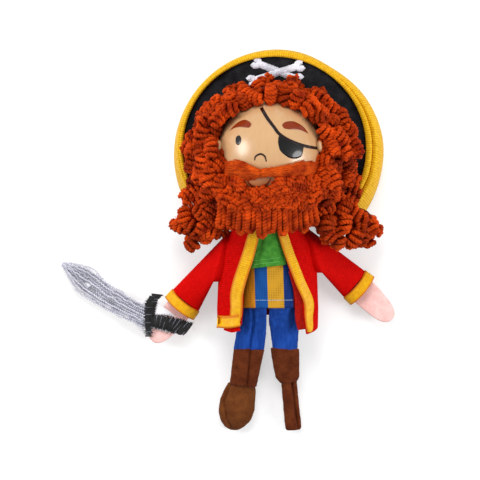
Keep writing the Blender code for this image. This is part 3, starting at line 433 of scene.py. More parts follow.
def yarn(name, dark, light, streak=(1.0, 1.0, 1.0)):
    """Spun acrylic yarn: matt, with fine fibres and warm light inside the strand."""
    material, tree, shader = finish(name, 0.85, Specular_IOR_Level=0.12, Sheen_Weight=0.08,
                                    Sheen_Roughness=0.5, Sheen_Tint=linear("FF8A30"))
    spot = add(tree, "ShaderNodeTexCoord").outputs["Object"]
    lock = add(tree, "ShaderNodeTexNoise", {"Scale": per_mm(5.0), "Detail": 2.0}, {"Vector": spot})
    lay = add(tree, "ShaderNodeMapping", {"Scale": streak}, {"Vector": spot})
    fibre = add(tree, "ShaderNodeTexNoise", {"Scale": per_mm(0.3), "Detail": 3.0, "Roughness": 0.7},
                {"Vector": lay.outputs["Vector"]})
    both = add(tree, "ShaderNodeMath", {"operation": "MULTIPLY_ADD", 1: 0.6},
               {0: lock.outputs["Fac"], 2: add(tree, "ShaderNodeMath", {"operation": "MULTIPLY", 1: 0.4},
                                               {0: fibre.outputs["Fac"]}).outputs[0]})
    coloured(tree, shader, both.outputs[0], dark, light, 0.35, 0.65)
    relief(tree, shader, fibre.outputs["Fac"], 0.09)
    return material


def felt(name, dark, light, grain=0.5, depth=0.14):
    """Pressed felt: matt, with a random nap of short fibres."""
    material, tree, shader = finish(name, 0.95, Specular_IOR_Level=0.1, Sheen_Weight=0.04,
                                    Sheen_Roughness=0.4)
    spot = add(tree, "ShaderNodeTexCoord").outputs["Object"]
    nap = add(tree, "ShaderNodeTexNoise", {"Scale": per_mm(grain), "Detail": 4.0, "Roughness": 0.65},
              {"Vector": spot})
    cloud = add(tree, "ShaderNodeTexNoise", {"Scale": per_mm(6 * grain), "Detail": 2.0}, {"Vector": spot})
    both = add(tree, "ShaderNodeMath", {"operation": "ADD"},
               {0: nap.outputs["Fac"], 1: cloud.outputs["Fac"]})
    coloured(tree, shader, both.outputs[0], dark, light, 0.75, 1.25)
    relief(tree, shader, nap.outputs["Fac"], depth)
    return material


def edged(tree, coords, colour, axis, width, code):
    """Tint the two woven edges of a ribbon of this width."""
    split = add(tree, "ShaderNodeSeparateXYZ", links={"Vector": coords.outputs["UV"]})
    off = add(tree, "ShaderNodeMath", {"operation": "SUBTRACT", 1: width / 2}, {0: split.outputs[axis]})
    far = add(tree, "ShaderNodeMath", {"operation": "ABSOLUTE"}, {0: off.outputs[0]})
    share = add(tree, "ShaderNodeMapRange", {"From Min": width / 2 - 0.75, "From Max": width / 2 - 0.3},
                {"Value": far.outputs[0]})
    return add(tree, "ShaderNodeMixRGB", {"Color2": linear(code)},
               {"Fac": share.outputs["Result"], "Color1": colour}).outputs["Color"]


def ribbed(name, dark, light, pitch, axis="Y", depth=0.08, roughness=0.75, gloss=0.12, edge=None):
    """Ribbed cloth or ribbon: straight ribs a fixed pitch apart along one axis of the cut cloth."""
    material, tree, shader = finish(name, roughness, Specular_IOR_Level=gloss)
    coords = add(tree, "ShaderNodeTexCoord")
    split = add(tree, "ShaderNodeSeparateXYZ", links={"Vector": coords.outputs["UV"]})
    wobble = add(tree, "ShaderNodeTexNoise", {"Scale": per_mm(4.0), "Detail": 2.0},
                 {"Vector": coords.outputs["Object"]})
    phase = add(tree, "ShaderNodeMath", {"operation": "MULTIPLY_ADD", 1: 2 * pi / pitch},
                {0: split.outputs[axis],
                 2: add(tree, "ShaderNodeMath", {"operation": "MULTIPLY", 1: 2.5},
                        {0: wobble.outputs["Fac"]}).outputs[0]})
    wave = add(tree, "ShaderNodeMath", {"operation": "SINE"}, {0: phase.outputs[0]})
    rib = add(tree, "ShaderNodeMapRange", {"From Min": -1.0, "From Max": 1.0}, {"Value": wave.outputs[0]})
    slub = add(tree, "ShaderNodeTexNoise", {"Scale": per_mm(1.2), "Detail": 3.0},
               {"Vector": coords.outputs["Object"]})
    # The colour follows the ribs, darker in their troughs and lighter on their crests: painted shade and
    # highlight on each rib; the slub noise varies the tone at random
    both = add(tree, "ShaderNodeMath", {"operation": "MULTIPLY_ADD", 1: 0.35},
               {0: rib.outputs["Result"], 2: slub.outputs["Fac"]})
    colour = coloured(tree, shader, both.outputs[0], dark, light, 0.35, 0.95)
    if edge:
        tree.links.new(edged(tree, coords, colour, *edge), shader.inputs["Base Color"])
    relief(tree, shader, rib.outputs["Result"], depth)
    return material


def woven(name, dark, light, thread=0.45, streak=(1.0, 1.0, 1.0)):
    """Plain woven cotton: two sets of threads that cross, with streaks where the dye took unevenly."""
    material, tree, shader = finish(name, 0.85, Specular_IOR_Level=0.12)
    coords = add(tree, "ShaderNodeTexCoord")
    split = add(tree, "ShaderNodeSeparateXYZ", links={"Vector": coords.outputs["Object"]})
    waves = []
    for axis in ("X", "Y"):
        phase = add(tree, "ShaderNodeMath", {"operation": "MULTIPLY", 1: 2 * pi * per_mm(thread)},
                    {0: split.outputs[axis]})
        waves.append(add(tree, "ShaderNodeMath", {"operation": "SINE"}, {0: phase.outputs[0]}).outputs[0])
    weave = add(tree, "ShaderNodeMath", {"operation": "MULTIPLY"}, {0: waves[0], 1: waves[1]})
    lay = add(tree, "ShaderNodeMapping", {"Scale": streak}, {"Vector": coords.outputs["Object"]})
    dye = add(tree, "ShaderNodeTexNoise", {"Scale": per_mm(1.5), "Detail": 4.0, "Roughness": 0.6},
              {"Vector": lay.outputs["Vector"]})
    coloured(tree, shader, dye.outputs["Fac"], dark, light, 0.32, 0.68)
    relief(tree, shader, weave.outputs[0], 0.07)
    return material


def striped_cotton():
    """Printed cotton: upright stripes, ochre, blue, gold and navy, with the pits of a fine weave darkened as
    painted shade.
    """
    material, tree, shader = finish("striped shirt cotton", 0.85, Specular_IOR_Level=0.12)
    coords = add(tree, "ShaderNodeTexCoord")
    split = add(tree, "ShaderNodeSeparateXYZ", links={"Vector": coords.outputs["Object"]})
    tilted = add(tree, "ShaderNodeMath", {"operation": "MULTIPLY_ADD", 1: 0.03},
                 {0: split.outputs["Y"], 2: split.outputs["X"]})
    half = 12.0
    share = add(tree, "ShaderNodeMapRange",
                {"From Min": (BODY_X - half) * MM, "From Max": (BODY_X + half) * MM},
                {"Value": tilted.outputs[0]})
    ramp = add(tree, "ShaderNodeValToRGB", links={"Fac": share.outputs["Result"]})
    ramp.color_ramp.interpolation = "CONSTANT"
    stops = [(0.0, "B9771A"), (0.236, "17498C"), (0.427, "BE8C26"), (0.672, "15306E"), (0.82, "8C1408")]
    while len(ramp.color_ramp.elements) < len(stops):
        ramp.color_ramp.elements.new(0.5)
    for element, (at, code) in zip(ramp.color_ramp.elements, stops):
        element.position = at
        element.color = linear(code)
    dots = add(tree, "ShaderNodeTexVoronoi", {"Scale": per_mm(0.85), "Randomness": 0.1},
               {"Vector": coords.outputs["Object"]})
    # Darker in the pits between the threads and a little lighter on them: painted shade and highlight
    shade = add(tree, "ShaderNodeMapRange", {"From Max": 0.5, "To Min": 0.55, "To Max": 1.12},
                {"Value": dots.outputs["Distance"]})
    tint = add(tree, "ShaderNodeVectorMath", {"operation": "SCALE"},
               {0: ramp.outputs["Color"], "Scale": shade.outputs["Result"]})
    tree.links.new(tint.outputs[0], shader.inputs["Base Color"])
    relief(tree, shader, dots.outputs["Distance"], 0.06)
    return material


def satin(name, dark, light, roughness=0.45):
    """Rayon embroidery thread: filaments laid side by side, with a soft silky shine."""
    material, tree, shader = finish(name, roughness, Sheen_Weight=0.15, Sheen_Roughness=0.3)
    spot = add(tree, "ShaderNodeTexCoord").outputs["Object"]
    shade = add(tree, "ShaderNodeTexNoise", {"Scale": per_mm(0.7), "Detail": 3.0}, {"Vector": spot})
    coloured(tree, shader, shade.outputs["Fac"], dark, light, 0.35, 0.65)
    relief(tree, shader, shade.outputs["Fac"], 0.03)
    return material


WOOD = varnished_wood()
BROW_PAINT = paint("brown enamel", "8A3008")
DARK_PAINT = paint("black enamel", "08080A")
STRAP_PAINT = paint("dark brown enamel", "1E0E0A")
LIP_PAINT = paint("red brown enamel", "A5401C")
SKIN_PAINT = paint("skin enamel", "D28E5C")
YARN = yarn("ginger yarn", "720A00", "E6520E")
# A darker copy of the ginger yarn: painted shade for the locks that sit deeper
YARN_DARK = yarn("ginger yarn in the shade", "560600", "C2400A")
BRUSHED = yarn("brushed ginger yarn", "8E1A02", "E25C14", (0.3, 1.0, 1.0))
# Dark felt under the yarn of the hair and beard, so that the gaps between curls read dark: painted shade
YARN_SHADE_BASE = felt("dark red felt for painted shade under the yarn", "4E0C00", "7C1A02")
HAT_FELT = felt("black felt", "161618", "29292C")
RIBBON = ribbed("yellow grosgrain ribbon", "CE960A", "F4C020", 0.9, "Y", 0.1, roughness=0.6, gloss=0.2)
TRIM = ribbed("yellow coat ribbon", "D69006", "F0BA10", 0.55, "Y", 0.03, roughness=0.5, gloss=0.25,
              edge=("X", 4.1, "CE7406"))
CUFF = ribbed("yellow cuff ribbon", "D49004", "F0B80E", 0.55, "X", 0.03, roughness=0.5, gloss=0.25,
              edge=("Y", 4.2, "CE7406"))
RED = ribbed("red ribbed cloth", "B20202", "D20A06", RIB_PITCH, "Y", 0.07, gloss=0.04)
SLEEVE_RED = ribbed("red sleeve cloth", "BC0404", "D20A06", RIB_PITCH, "Y", 0.025, gloss=0.04)
# A darker copy of the red cloth for the turned-under front edge: painted shade
FACING = woven("turned red edge", "980E08", "BE1C10")
# A darker copy of the red cloth for the inside of the coat and sleeves: painted shade
INSIDE_SHADE = woven("darker red inside, painted shade", "8C0E08", "AE1810")
GREEN = woven("green cotton", "36802C", "56A63C")
SHIRT = striped_cotton()
BLUE = woven("blue trouser cotton", "143A8C", "2354B4", 0.5, (1.0, 0.14, 1.0))
BOOT_FELT = felt("brown felt", "4E200E", "6B3318")
FOOT_FELT = felt("light brown felt", "5A2E14", "703F1E")
HAND_FELT = felt("pink felt", "EFB6B0", "F9D0CB", 0.45, 0.08)
SILVER = satin("silver thread", "B2B2C2", "D6D6E2")
# Grey and pale copies of the silver thread: painted shade and highlight on the blade's rows; the grey also
# paints glints on the black hilt
SILVER_DARK = satin("grey thread", "8A8A9C", "AAAABA")
SILVER_HIGHLIGHT = satin("pale silver thread", "D2D2E2", "EEEEF6")
BLACK_THREAD = satin("black thread", "060606", "1C1C1C", 0.7)
WHITE_THREAD = satin("white satin thread", "DADAE8", "FAFAFF", 0.4)
BACKING = felt("white embroidery backing", "E6E6EC", "F6F6FA", 0.4, 0.05)
STITCH = satin("pale blue stitching", "9CC4E8", "C4E0F8")
GREEN_STITCH = satin("light green stitching", "5FB850", "84D070")


# Studio

def studio():
    """A camera straight above, three softboxes, and white paper in a dim white room."""
    bpy.context.scene.view_settings.view_transform = "Standard"
    camera = bpy.data.objects.new("camera", bpy.data.cameras.new("camera"))
    camera.data.type = "PERSP"
    camera.data.lens = CAMERA_LENS
    camera.data.sensor_width = SENSOR
    camera.data.clip_start = 0.05
    camera.data.clip_end = 20.0
    camera.location = CAMERA_AT * MM
    bpy.context.scene.collection.objects.link(camera)
    bpy.context.scene.camera = camera

    for name, place, size, power in (("left softbox", (-620, 120, 400), 360, 3.0),
                                     ("right softbox", (640, -120, 370), 360, 3.1),
                                     ("top softbox", (-120, 900, 850), 700, 8.0)):
        lamp = bpy.data.objects.new(name, bpy.data.lights.new(name, "AREA"))
        lamp.data.shape = "DISK"
        lamp.data.size = size * MM
        lamp.data.energy = power
        lamp.location = Vector(place) * MM
        aim = HEAD * MM - lamp.location
        lamp.rotation_euler = aim.to_track_quat("-Z", "Y").to_euler()
        lamp.visible_camera = False
        lamp.visible_glossy = name != "top softbox"
        bpy.context.scene.collection.objects.link(lamp)

    world = bpy.data.worlds.new("studio")
    world.use_nodes = True
    bpy.context.scene.world = world
    tree = world.node_tree
    tree.nodes.clear()
    ray = add(tree, "ShaderNodeLightPath")
    seen = add(tree, "ShaderNodeMath", {"operation": "MAXIMUM"},
               {0: ray.outputs["Is Camera Ray"], 1: ray.outputs["Is Transmission Ray"]})
    glow = add(tree, "ShaderNodeBackground", {"Color": (1, 1, 1, 1), "Strength": WORLD_LIGHT})
    white = add(tree, "ShaderNodeBackground", {"Color": (1, 1, 1, 1), "Strength": 1.0})
    pick = add(tree, "ShaderNodeMixShader", {}, {0: seen.outputs[0], 1: glow.outputs[0], 2: white.outputs[0]})
    add(tree, "ShaderNodeOutputWorld", {}, {"Surface": pick.outputs[0]})

    bm = bmesh.new()
    bmesh.ops.create_grid(bm, x_segments=1, y_segments=1, size=FLOOR_HALF)
    bmesh.ops.scale(bm, vec=(MM, MM, MM), verts=bm.verts)
    mesh = bpy.data.meshes.new("floor")
    bm.to_mesh(mesh)
    bm.free()
    floor = bpy.data.objects.new("floor", mesh)
    floor.location.z = -FLOOR_DROP * MM
    bpy.context.scene.collection.objects.link(floor)
    material, tree, shader = finish("white paper", 0.9, Base_Color=(PAPER_GREY, PAPER_GREY, PAPER_GREY, 1))
    ray = add(tree, "ShaderNodeLightPath")
    seen = add(tree, "ShaderNodeMath", {"operation": "MAXIMUM"},
               {0: ray.outputs["Is Camera Ray"], 1: ray.outputs["Is Glossy Ray"]})
    lift = add(tree, "ShaderNodeEmission", {"Color": (1, 1, 1, 1), "Strength": PAPER_GLOW})
    both = add(tree, "ShaderNodeAddShader", {}, {0: shader.outputs[0], 1: lift.outputs[0]})
    pick = add(tree, "ShaderNodeMixShader", {},
               {0: seen.outputs[0], 1: shader.outputs[0], 2: both.outputs[0]})
    tree.links.new(pick.outputs[0], tree.nodes["Material Output"].inputs["Surface"])
    mesh.materials.append(material)


# Head and face

def ball_front(x, y):
    return HEAD.z + sqrt(max(HEAD_RADIUS ** 2 - (x - HEAD.x) ** 2 - (y - HEAD.y) ** 2, 1))


def make_head():
    """The ball is turned about Y: its outline is spun, with the blind hole for the neck."""
    hole = degrees(acos(sqrt(1 - (NECK_HOLE_RADIUS / HEAD_RADIUS) ** 2)))
    turns = [radians((180 - hole) * k / 40) for k in range(41)]
    profile = [(HEAD_RADIUS * sin(t), HEAD_RADIUS * cos(t)) for t in turns]
    seat = profile[-1][1]
    profile += [(NECK_HOLE_RADIUS, seat + 1.0), (NECK_HOLE_RADIUS, seat + NECK_HOLE_DEPTH),
                (0, seat + NECK_HOLE_DEPTH)]
    bm = bmesh.new()
    line = [bm.verts.new((HEAD.x + r, HEAD.y + y, HEAD.z)) for r, y in profile]
    edges = [bm.edges.new(pair) for pair in zip(line, line[1:])]
    bmesh.ops.spin(bm, geom=line + edges, cent=HEAD, axis=(0, 1, 0), angle=2 * pi, steps=HEAD_STEPS,
                   use_merge=True)
    bmesh.ops.remove_doubles(bm, verts=bm.verts, dist=0.0005)
    bmesh.ops.recalc_face_normals(bm, faces=bm.faces)
    made("wooden_head", bm, WOOD, ["head_ball"])


def painted(name, bm, material, nodes):
    solid(made(name, bm, material, nodes), PAINT_THICK, 1.0)


def make_face():
    """Painted fields with an upper and a lower edge, then painted lines, from the middle of the head."""
    fields = (
        ("eye", DARK_PAINT, ["painted_eye"], "face_paint_dark", PAINT_LIFT,
         [(-12.35, 3.7), (-12.15, 4.9), (-11.2, 5.6), (-10.5, 4.9), (-10.35, 4.0)],
         [(-12.35, 3.7), (-12.2, 2.8), (-11.5, 2.1), (-10.6, 2.9), (-10.35, 4.0)]),
        ("brow_sword_side", BROW_PAINT, ["painted_brow_sword_side"], "face_paint_brown", PAINT_LIFT,
         [(-14.6, 7.4), (-12.0, 10.0), (-9.4, 11.2), (-7.4, 10.5), (-6.7, 9.4)],
         [(-14.6, 7.4), (-12.5, 8.4), (-10.4, 8.6), (-7.7, 8.3), (-6.7, 9.4)]),
        ("brow_free_side", BROW_PAINT, ["painted_brow_free_side"], "face_paint_brown", PAINT_LIFT,
         [(4.2, 9.1), (5.0, 10.1), (6.8, 10.6), (8.9, 10.4), (11.8, 8.8), (13.7, 6.3)],
         [(4.2, 9.1), (5.0, 8.0), (7.2, 7.7), (9.2, 7.7), (11.0, 7.4), (13.7, 6.3)]),
        ("eye_patch", DARK_PAINT, ["painted_eye_patch"], "face_paint_dark", PAINT_LIFT,
         [(2.75, 2.9), (3.15, 5.3), (5.2, 4.4), (7.4, 3.3), (9.8, 2.4), (12.0, 1.8)],
         [(2.75, 2.9), (3.4, 0.3), (5.0, -1.4), (7.0, -2.6), (9.1, -2.8), (11.2, -1.7), (12.0, 1.8)]),
        ("mouth", LIP_PAINT, ["painted_lip"], None, PAINT_LIFT,
         [(-8.8, -9.6), (-6.6, -9.7), (-4.2, -9.7), (-1.8, -9.7), (0.5, -9.6)],
         [(-8.8, -9.6), (-7.9, -11.4), (-6.4, -12.8), (-4.2, -13.4), (-2.0, -12.9), (-0.5, -11.5),
          (0.5, -9.6)]),
        ("lower_lip", SKIN_PAINT, (), None, PAINT_LIFT + PAINT_THICK,
         [(-8.2, -9.6), (-6.2, -9.6), (-4.2, -9.6), (-2.2, -9.6), (-0.1, -9.6)],
         [(-8.2, -9.6), (-7.5, -11.0), (-6.2, -12.2), (-4.2, -12.8), (-2.2, -12.3), (-0.9, -11.1),
          (-0.1, -9.6)]))
    for name, material, nodes, slot, lift, upper, lower in fields:
        painted(name, field(from_head(upper), from_head(lower), ball_front, lift), material, nodes)
    lines = (
        ("nose", "painted_nose", "face_paint_brown",
         [(-5.6, -3.4, 0.16), (-5.2, -2.0, 0.26), (-3.5, -1.2, 0.32), (-2.0, -2.0, 0.28),
          (-1.4, -3.9, 0.18)]),
        ("patch_strap", "painted_patch_strap", "face_paint_dark",
         [(-3.2, 15.6, 0.62), (-1.1, 11.8, 0.6), (1.4, 8.3, 0.58), (3.2, 6.0, 0.56), (6.6, 3.8, 0.56),
          (12.3, 1.8, 0.56), (18.4, 1.0, 0.5)]))
    for name, node, slot, points in lines:
        painted(name, strip(from_head(points), ball_front, PAINT_LIFT, 4), STRAP_PAINT, [node])


def make_ears():
    """Small dented buttons, where the solids have them."""
    for name, node in (("ear_on_sword_side", "ear_sword_side"), ("ear_on_free_side", "ear_free_side")):
        low, high = (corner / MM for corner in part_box(node))
        half = (high - low) / 2
        bm = bmesh.new()
        bmesh.ops.create_uvsphere(bm, u_segments=24, v_segments=14, radius=1.0)
        bmesh.ops.scale(bm, vec=(half.x * 1.05, half.y, half.z * 0.9), verts=bm.verts)
        for vert in bm.verts:
            dent = exp(-(vert.co.y / (0.5 * half.y)) ** 2) * max(vert.co.z / half.z, 0)
            vert.co.z -= 0.5 * dent
        bmesh.ops.translate(bm, vec=(low + high) / 2, verts=bm.verts)
        made(name, bm, WOOD, [node])


# Hair

def lock(start, end, size=1.0, turn=0.0, bow=(0, 0, 0)):
    """One corkscrew lock of two-ply yarn between two points."""
    a, b = Vector(start), Vector(end)
    middle = (a + b) / 2 + Vector(bow)
    axis = resampled(smooth_path([a, middle, b], 12), 0.14)
    line = wound(axis, CURL_RADIUS * size, CURL_PITCH * size, turn)
    last = len(axis) - 1
    tip = 9
    for k in range(min(tip, last // 2)):
        for at in (k, last - k):
            line[at] = axis[at].lerp(line[at], (k + 2) / (tip + 2))
    return plies(line)


def stray(rows, number, length):
    """Loose fibres that stand away from strands of yarn."""
    hairs = []
    for _ in range(number):
        row = RNG.choice(rows)
        root = row[RNG.randrange(len(row))]
        first = Vector([RNG.gauss(0, 1) for _ in range(3)]).normalized()
        second = (first + 0.8 * Vector([RNG.gauss(0, 1) for _ in range(3)])).normalized()
        reach = RNG.uniform(0.5, 1) * length
        bend = root + first * reach * 0.55
        hairs.append([root, bend, bend + second * reach * 0.45])
    return hairs


def make_hair():
    """Rings of locks round the ball, tufts between them, and a loose bunch on each shoulder."""
    # First and last degree of each ring, its locks, how far it stands off the ball at the top and at the
    # sides, its height and the length of a lock
    rings = ((4, 176, 13, 0.6, 2.4, 10.5, 7.0), (-24, 204, 19, 1.2, 5.4, 7.5, 8.0),
             (-40, 220, 25, 2.2, 8.2, 1.5, 8.0), (-42, 222, 23, 2.2, 6.8, -6.0, 8.0),
             (-56, -12, 7, 1.6, 2.2, 9.5, 7.5), (192, 236, 7, 1.6, 2.2, 9.5, 7.5))
    rows = []
    for start, end, count, off_top, off_side, rise, length in rings:
        top, side = HEAD_RADIUS + off_top, HEAD_RADIUS + off_side
        for k in range(count):
            turn = radians(start + (end - start) * k / (count - 1) + RNG.uniform(-2, 2))
            out = Vector((cos(turn), sin(turn), 0))
            wider = 2.4 * max(cos(turn), 0) if off_side > 6 else 0
            ring = top + (side + wider - top) * cos(turn) ** 2 + RNG.uniform(-0.7, 0.7)
            sunk = 1.6 if len(rows) % 3 == 2 else 0
            at = HEAD + Vector((0, 0, rise - sunk + RNG.uniform(-0.8, 1.4))) + out * (ring - 0.5 * sunk)
            lean = Vector((RNG.uniform(-0.5, 0.5), RNG.uniform(-0.5, 0.5), 0.5 * (-1) ** k))
            axis = (out * (0.5 + 0.5 * sin(turn)) + Vector((0, -0.9 * abs(cos(turn)), 0)) + lean).normalized()
            half = axis * (length / 2)
            bow = (RNG.uniform(-0.8, 0.8), RNG.uniform(-0.8, 0.8), 0.6)
            rows.append(lock(at - half, at + half, RNG.uniform(0.8, 1.25), RNG.uniform(0, 2 * pi), bow))
    tufts = ((-14.2, 20.6, 19), (-13.2, 22.0, 16), (-2.2, 24.4, 19), (-1.0, 25.8, 15), (7.4, 24.6, 19),
             (8.6, 25.6, 15), (16.6, 20.6, 18), (17.8, 21.2, 15), (24.2, 14.4, 17), (-22.0, 15.6, 17),
             (-27.6, -10.4, 13), (-26.8, -14.6, 14), (30.6, -9.4, 12), (30.8, -14.0, 12), (29.4, -17.6, 14),
             (28.6, 5.4, 14), (20.2, 9.6, 29), (21.2, 5.0, 29), (20.8, 0.4, 30), (-20.2, 8.6, 29),
             (-21.0, 4.0, 29), (-29.4, 2.0, 15), (-19.0, -1.6, 31), (-18.0, -4.6, 32), (19.4, -3.4, 31),
             (20.4, 2.8, 31), (-30.0, -15.2, 12), (-29.0, -18.6, 12), (-18.8, -25.0, 13), (-17.0, -28.4, 13),
             (18.4, -24.2, 15), (19.8, -27.8, 14), (-20.5, -27.8, 13), (-19.8, -13.0, 26), (20.2, -13.0, 26))
    for x, y, z in tufts:
        at = Vector((HEAD.x + x, HEAD.y + y, z))
        out = Vector((x, y, 0)).normalized()
        lean = (out + Vector((RNG.uniform(-0.5, 0.5), RNG.uniform(-0.5, 0.5), 0.2))).normalized() * 3.0
        rows.append(lock(at - lean, at + lean, 1.05, RNG.uniform(0, 2 * pi)))
    sword_side = [(-25.0, -17.0, 17.0), (-20.5, -20.5, 19.0), (-30.3, -22.8, 13.0), (-25.0, -22.5, 17.0),
                  (-32.0, -27.0, 10.0), (-27.5, -28.0, 13.5), (-22.5, -27.0, 17.0), (-28.0, -31.4, 12.0),
                  (-23.0, -30.0, 16.5)]
    free_side = [(24.5, -16.5, 17.5), (20.5, -20.5, 21.0), (27.5, -20.5, 17.5), (32.0, -22.6, 14.0),
                 (21.5, -26.0, 21.0), (27.0, -26.0, 17.5), (33.0, -27.5, 13.5), (37.6, -27.4, 9.5),
                 (24.5, -31.8, 18.5), (30.0, -31.0, 15.5), (35.0, -30.8, 11.5), (22.0, -30.0, 20.0)]
    bunches = []
    for x, y, z in sword_side + free_side:
        for layer in (0, 1):
            at = Vector((HEAD.x + x + RNG.uniform(-0.8, 0.8), HEAD.y + y + RNG.uniform(-0.8, 0.8),
                         z - 2.2 + 3.6 * layer))
            way = radians(RNG.uniform(-160, -20))
            lean = Vector((cos(way), sin(way), RNG.uniform(-0.3, 0.3))).normalized() * 3.4
            bow = (RNG.uniform(-1, 1), RNG.uniform(-1, 1), 0.8)
            size = RNG.uniform(0.9, 1.15)
            bunches.append(lock(at - lean, at + lean, size, RNG.uniform(0, 2 * pi), bow))
    # Every third lock of the rings and tufts sits deeper and gets the darker yarn, a painted shade; a quarter
    # of the bunch locks get it too, which varies their tone
    pieces = (("hair_front", rows[0::3], YARN, ["wig"]),
              ("hair_between", rows[1::3], YARN, ()),
              ("hair_behind", rows[2::3] + bunches[3::4], YARN_DARK, ()),
              ("hair_bunches", bunches[0::4] + bunches[1::4] + bunches[2::4], YARN, ()))
    for name, locks, material, nodes in pieces:
        threads(name, sum(locks, []), PLY_RADIUS, material, nodes, ends=0.35)
    fibres = stray(sum(rows + bunches, []), 3600, 1.7)
    threads("hair_fibres", fibres, 0.07, YARN, (), rounds=0, ends=0.5)

    def cap(u, v):
        turn, lean = radians(-44 + 268 * u), radians(72 + 42 * v)
        radius = HEAD_RADIUS + 2.2 + 0.5 * noise.noise(Vector((9 * u, 4 * v, 0)))
        return (HEAD.x + radius * sin(lean) * cos(turn), HEAD.y + radius * sin(lean) * sin(turn),
                HEAD.z + radius * cos(lean))

    # Dark cores inside the shoulder bunches and a dark sheet under the curls: painted shade in the gaps
    bm = bmesh.new()
    for x, y, z, wide in ((-27.2, -25.4, 11.5, 5.5), (24.5, -24.5, 17.0, 5.5), (32.5, -25.5, 11.5, 5.5)):
        core = bmesh.ops.create_uvsphere(bm, u_segments=20, v_segments=12, radius=wide)["verts"]
        bmesh.ops.scale(bm, vec=(1, 1, 0.6), verts=core)
        bmesh.ops.translate(bm, vec=(HEAD.x + x, HEAD.y + y, z), verts=core)
    made("bunch_shade_cores", bm, YARN_SHADE_BASE, ())
    band = cloth(80, 16, cap, (90, 16))
    piece = solid(made("wig_shade_base", band, YARN_SHADE_BASE, ()), 1.8)


def beard_height(x, y):
    """The back of the beard: on the ball, and hanging from the chin below it."""
    chin = HEAD.y - 0.7 * HEAD_RADIUS
    hang = ball_front(HEAD.x, max(y, chin))
    if y < chin:
        hang -= 8.5 * (chin - y) / 16.4
    return max(hang - 0.031 * (x - HEAD.x) ** 2, ball_front(x, y))


def make_beard():
    """Hanging loops of yarn in two layers, under a mat of short curls."""
    loops = []
    count = 10
    gape = 1.05
    for layer in (0, 1):
        for k in range(count - layer):
            share = (k + 0.5 + 0.5 * layer) / count
            side = abs(2 * share - 1)
            x = HEAD.x - 1.0 + 17.4 * (2 * share - 1) + RNG.uniform(-0.3, 0.3)
            tip = HEAD.y - 30.6 + 3.6 * side ** 3 + 1.0 * (k % 2) - (0.8 if k == 4 else 0) + 1.6 * layer
            top = HEAD.y - 17.0 - RNG.uniform(0, 1.0)
            sink = layer + RNG.uniform(-0.4, 0.4)
            z_top = beard_height(x, top) + 1.4 - sink
            z_tip = beard_height(x, tip) + 2.1 - sink
            lean = 0.07 * (x - HEAD.x) + RNG.uniform(-0.4, 0.4)
            half_y, half_z = (top + tip) / 2, (z_top + z_tip) / 2 + 0.8
            points = [(x - gape, top, z_top), (x - gape + lean * 0.5, half_y, half_z),
                      (x - gape + lean, tip + 1.9, z_tip), (x + lean, tip + 0.9, z_tip),
                      (x + gape + lean, tip + 1.9, z_tip), (x + gape + lean * 0.5, half_y, half_z),
                      (x + gape, top, z_top)]
            loops += plies(smooth_path(points, 10), 0.5, 2.7)
    threads("beard_loops", loops, 0.66, YARN, ["beard"], ends=0.5)

    mat = []
    for drop, half, number in ((-10.2, 17.8, 11), (-12.6, 18.0, 12), (-14.9, 17.8, 13), (-17.0, 17.8, 12),
                               (-19.0, 17.2, 11)):
        for k in range(number):
            share = 2 * (k + 0.5 + 0.25 * (-1) ** int(drop)) / number - 1
            x = HEAD.x - 0.4 + half * share + RNG.uniform(-0.4, 0.4)
            y = HEAD.y + drop + RNG.uniform(-0.4, 0.4)
            over_mouth = ((x - HEAD.x + 4.5) / 5.7) ** 2 + ((y - HEAD.y + 9.5) / 5.4) ** 2 < 1
            if over_mouth:
                continue
            way = radians(RNG.uniform(-150, -30))
            lean = Vector((cos(way), sin(way), 0)) * 2.2
            spot = Vector((x, y, beard_height(x, y) + 2.2))
            mat.append(lock(spot - lean, spot + lean, 0.78, RNG.uniform(0, 2 * pi)))
    for side in (-1, 1):
        for x, y, z in ((18.2, -2.6, 4.0), (17.6, -6.0, 5.5), (17.0, -9.4, 6.0), (19.6, -9.6, 3.0),
                        (19.6, -13.0, 4.0)):
            spot = HEAD + Vector((side * x - 0.3, y, z))
            lean = Vector((0.2 * side, -1, 0.1)).normalized() * 2.4
            mat.append(lock(spot - lean, spot + lean, 0.9, RNG.uniform(0, 2 * pi)))
    curls = sum(mat, [])
    threads("beard_curls", curls, PLY_RADIUS, YARN, (), ends=0.4)
    fibres = stray(loops + curls, 1300, 1.5)
    threads("beard_fibres", fibres, 0.06, YARN, (), rounds=0, ends=0.5)

    def backing(u, v):
        x = HEAD.x - 1.0 + 17.5 * (2 * u - 1)
        side = abs(2 * u - 1)
        foot = HEAD.y - 28.4 + 3.6 * side ** 3
        y = HEAD.y - 14.0 + (foot - HEAD.y + 14.0) * v
        return x, y, beard_height(x, y) + 0.5

    # A dark sheet behind the beard's loops: painted shade in the gaps between them
    bm = face_up(cloth(40, 24, backing, (35, 14)))
    piece = solid(made("beard_shade_base", bm, YARN_SHADE_BASE, ()), 0.4)


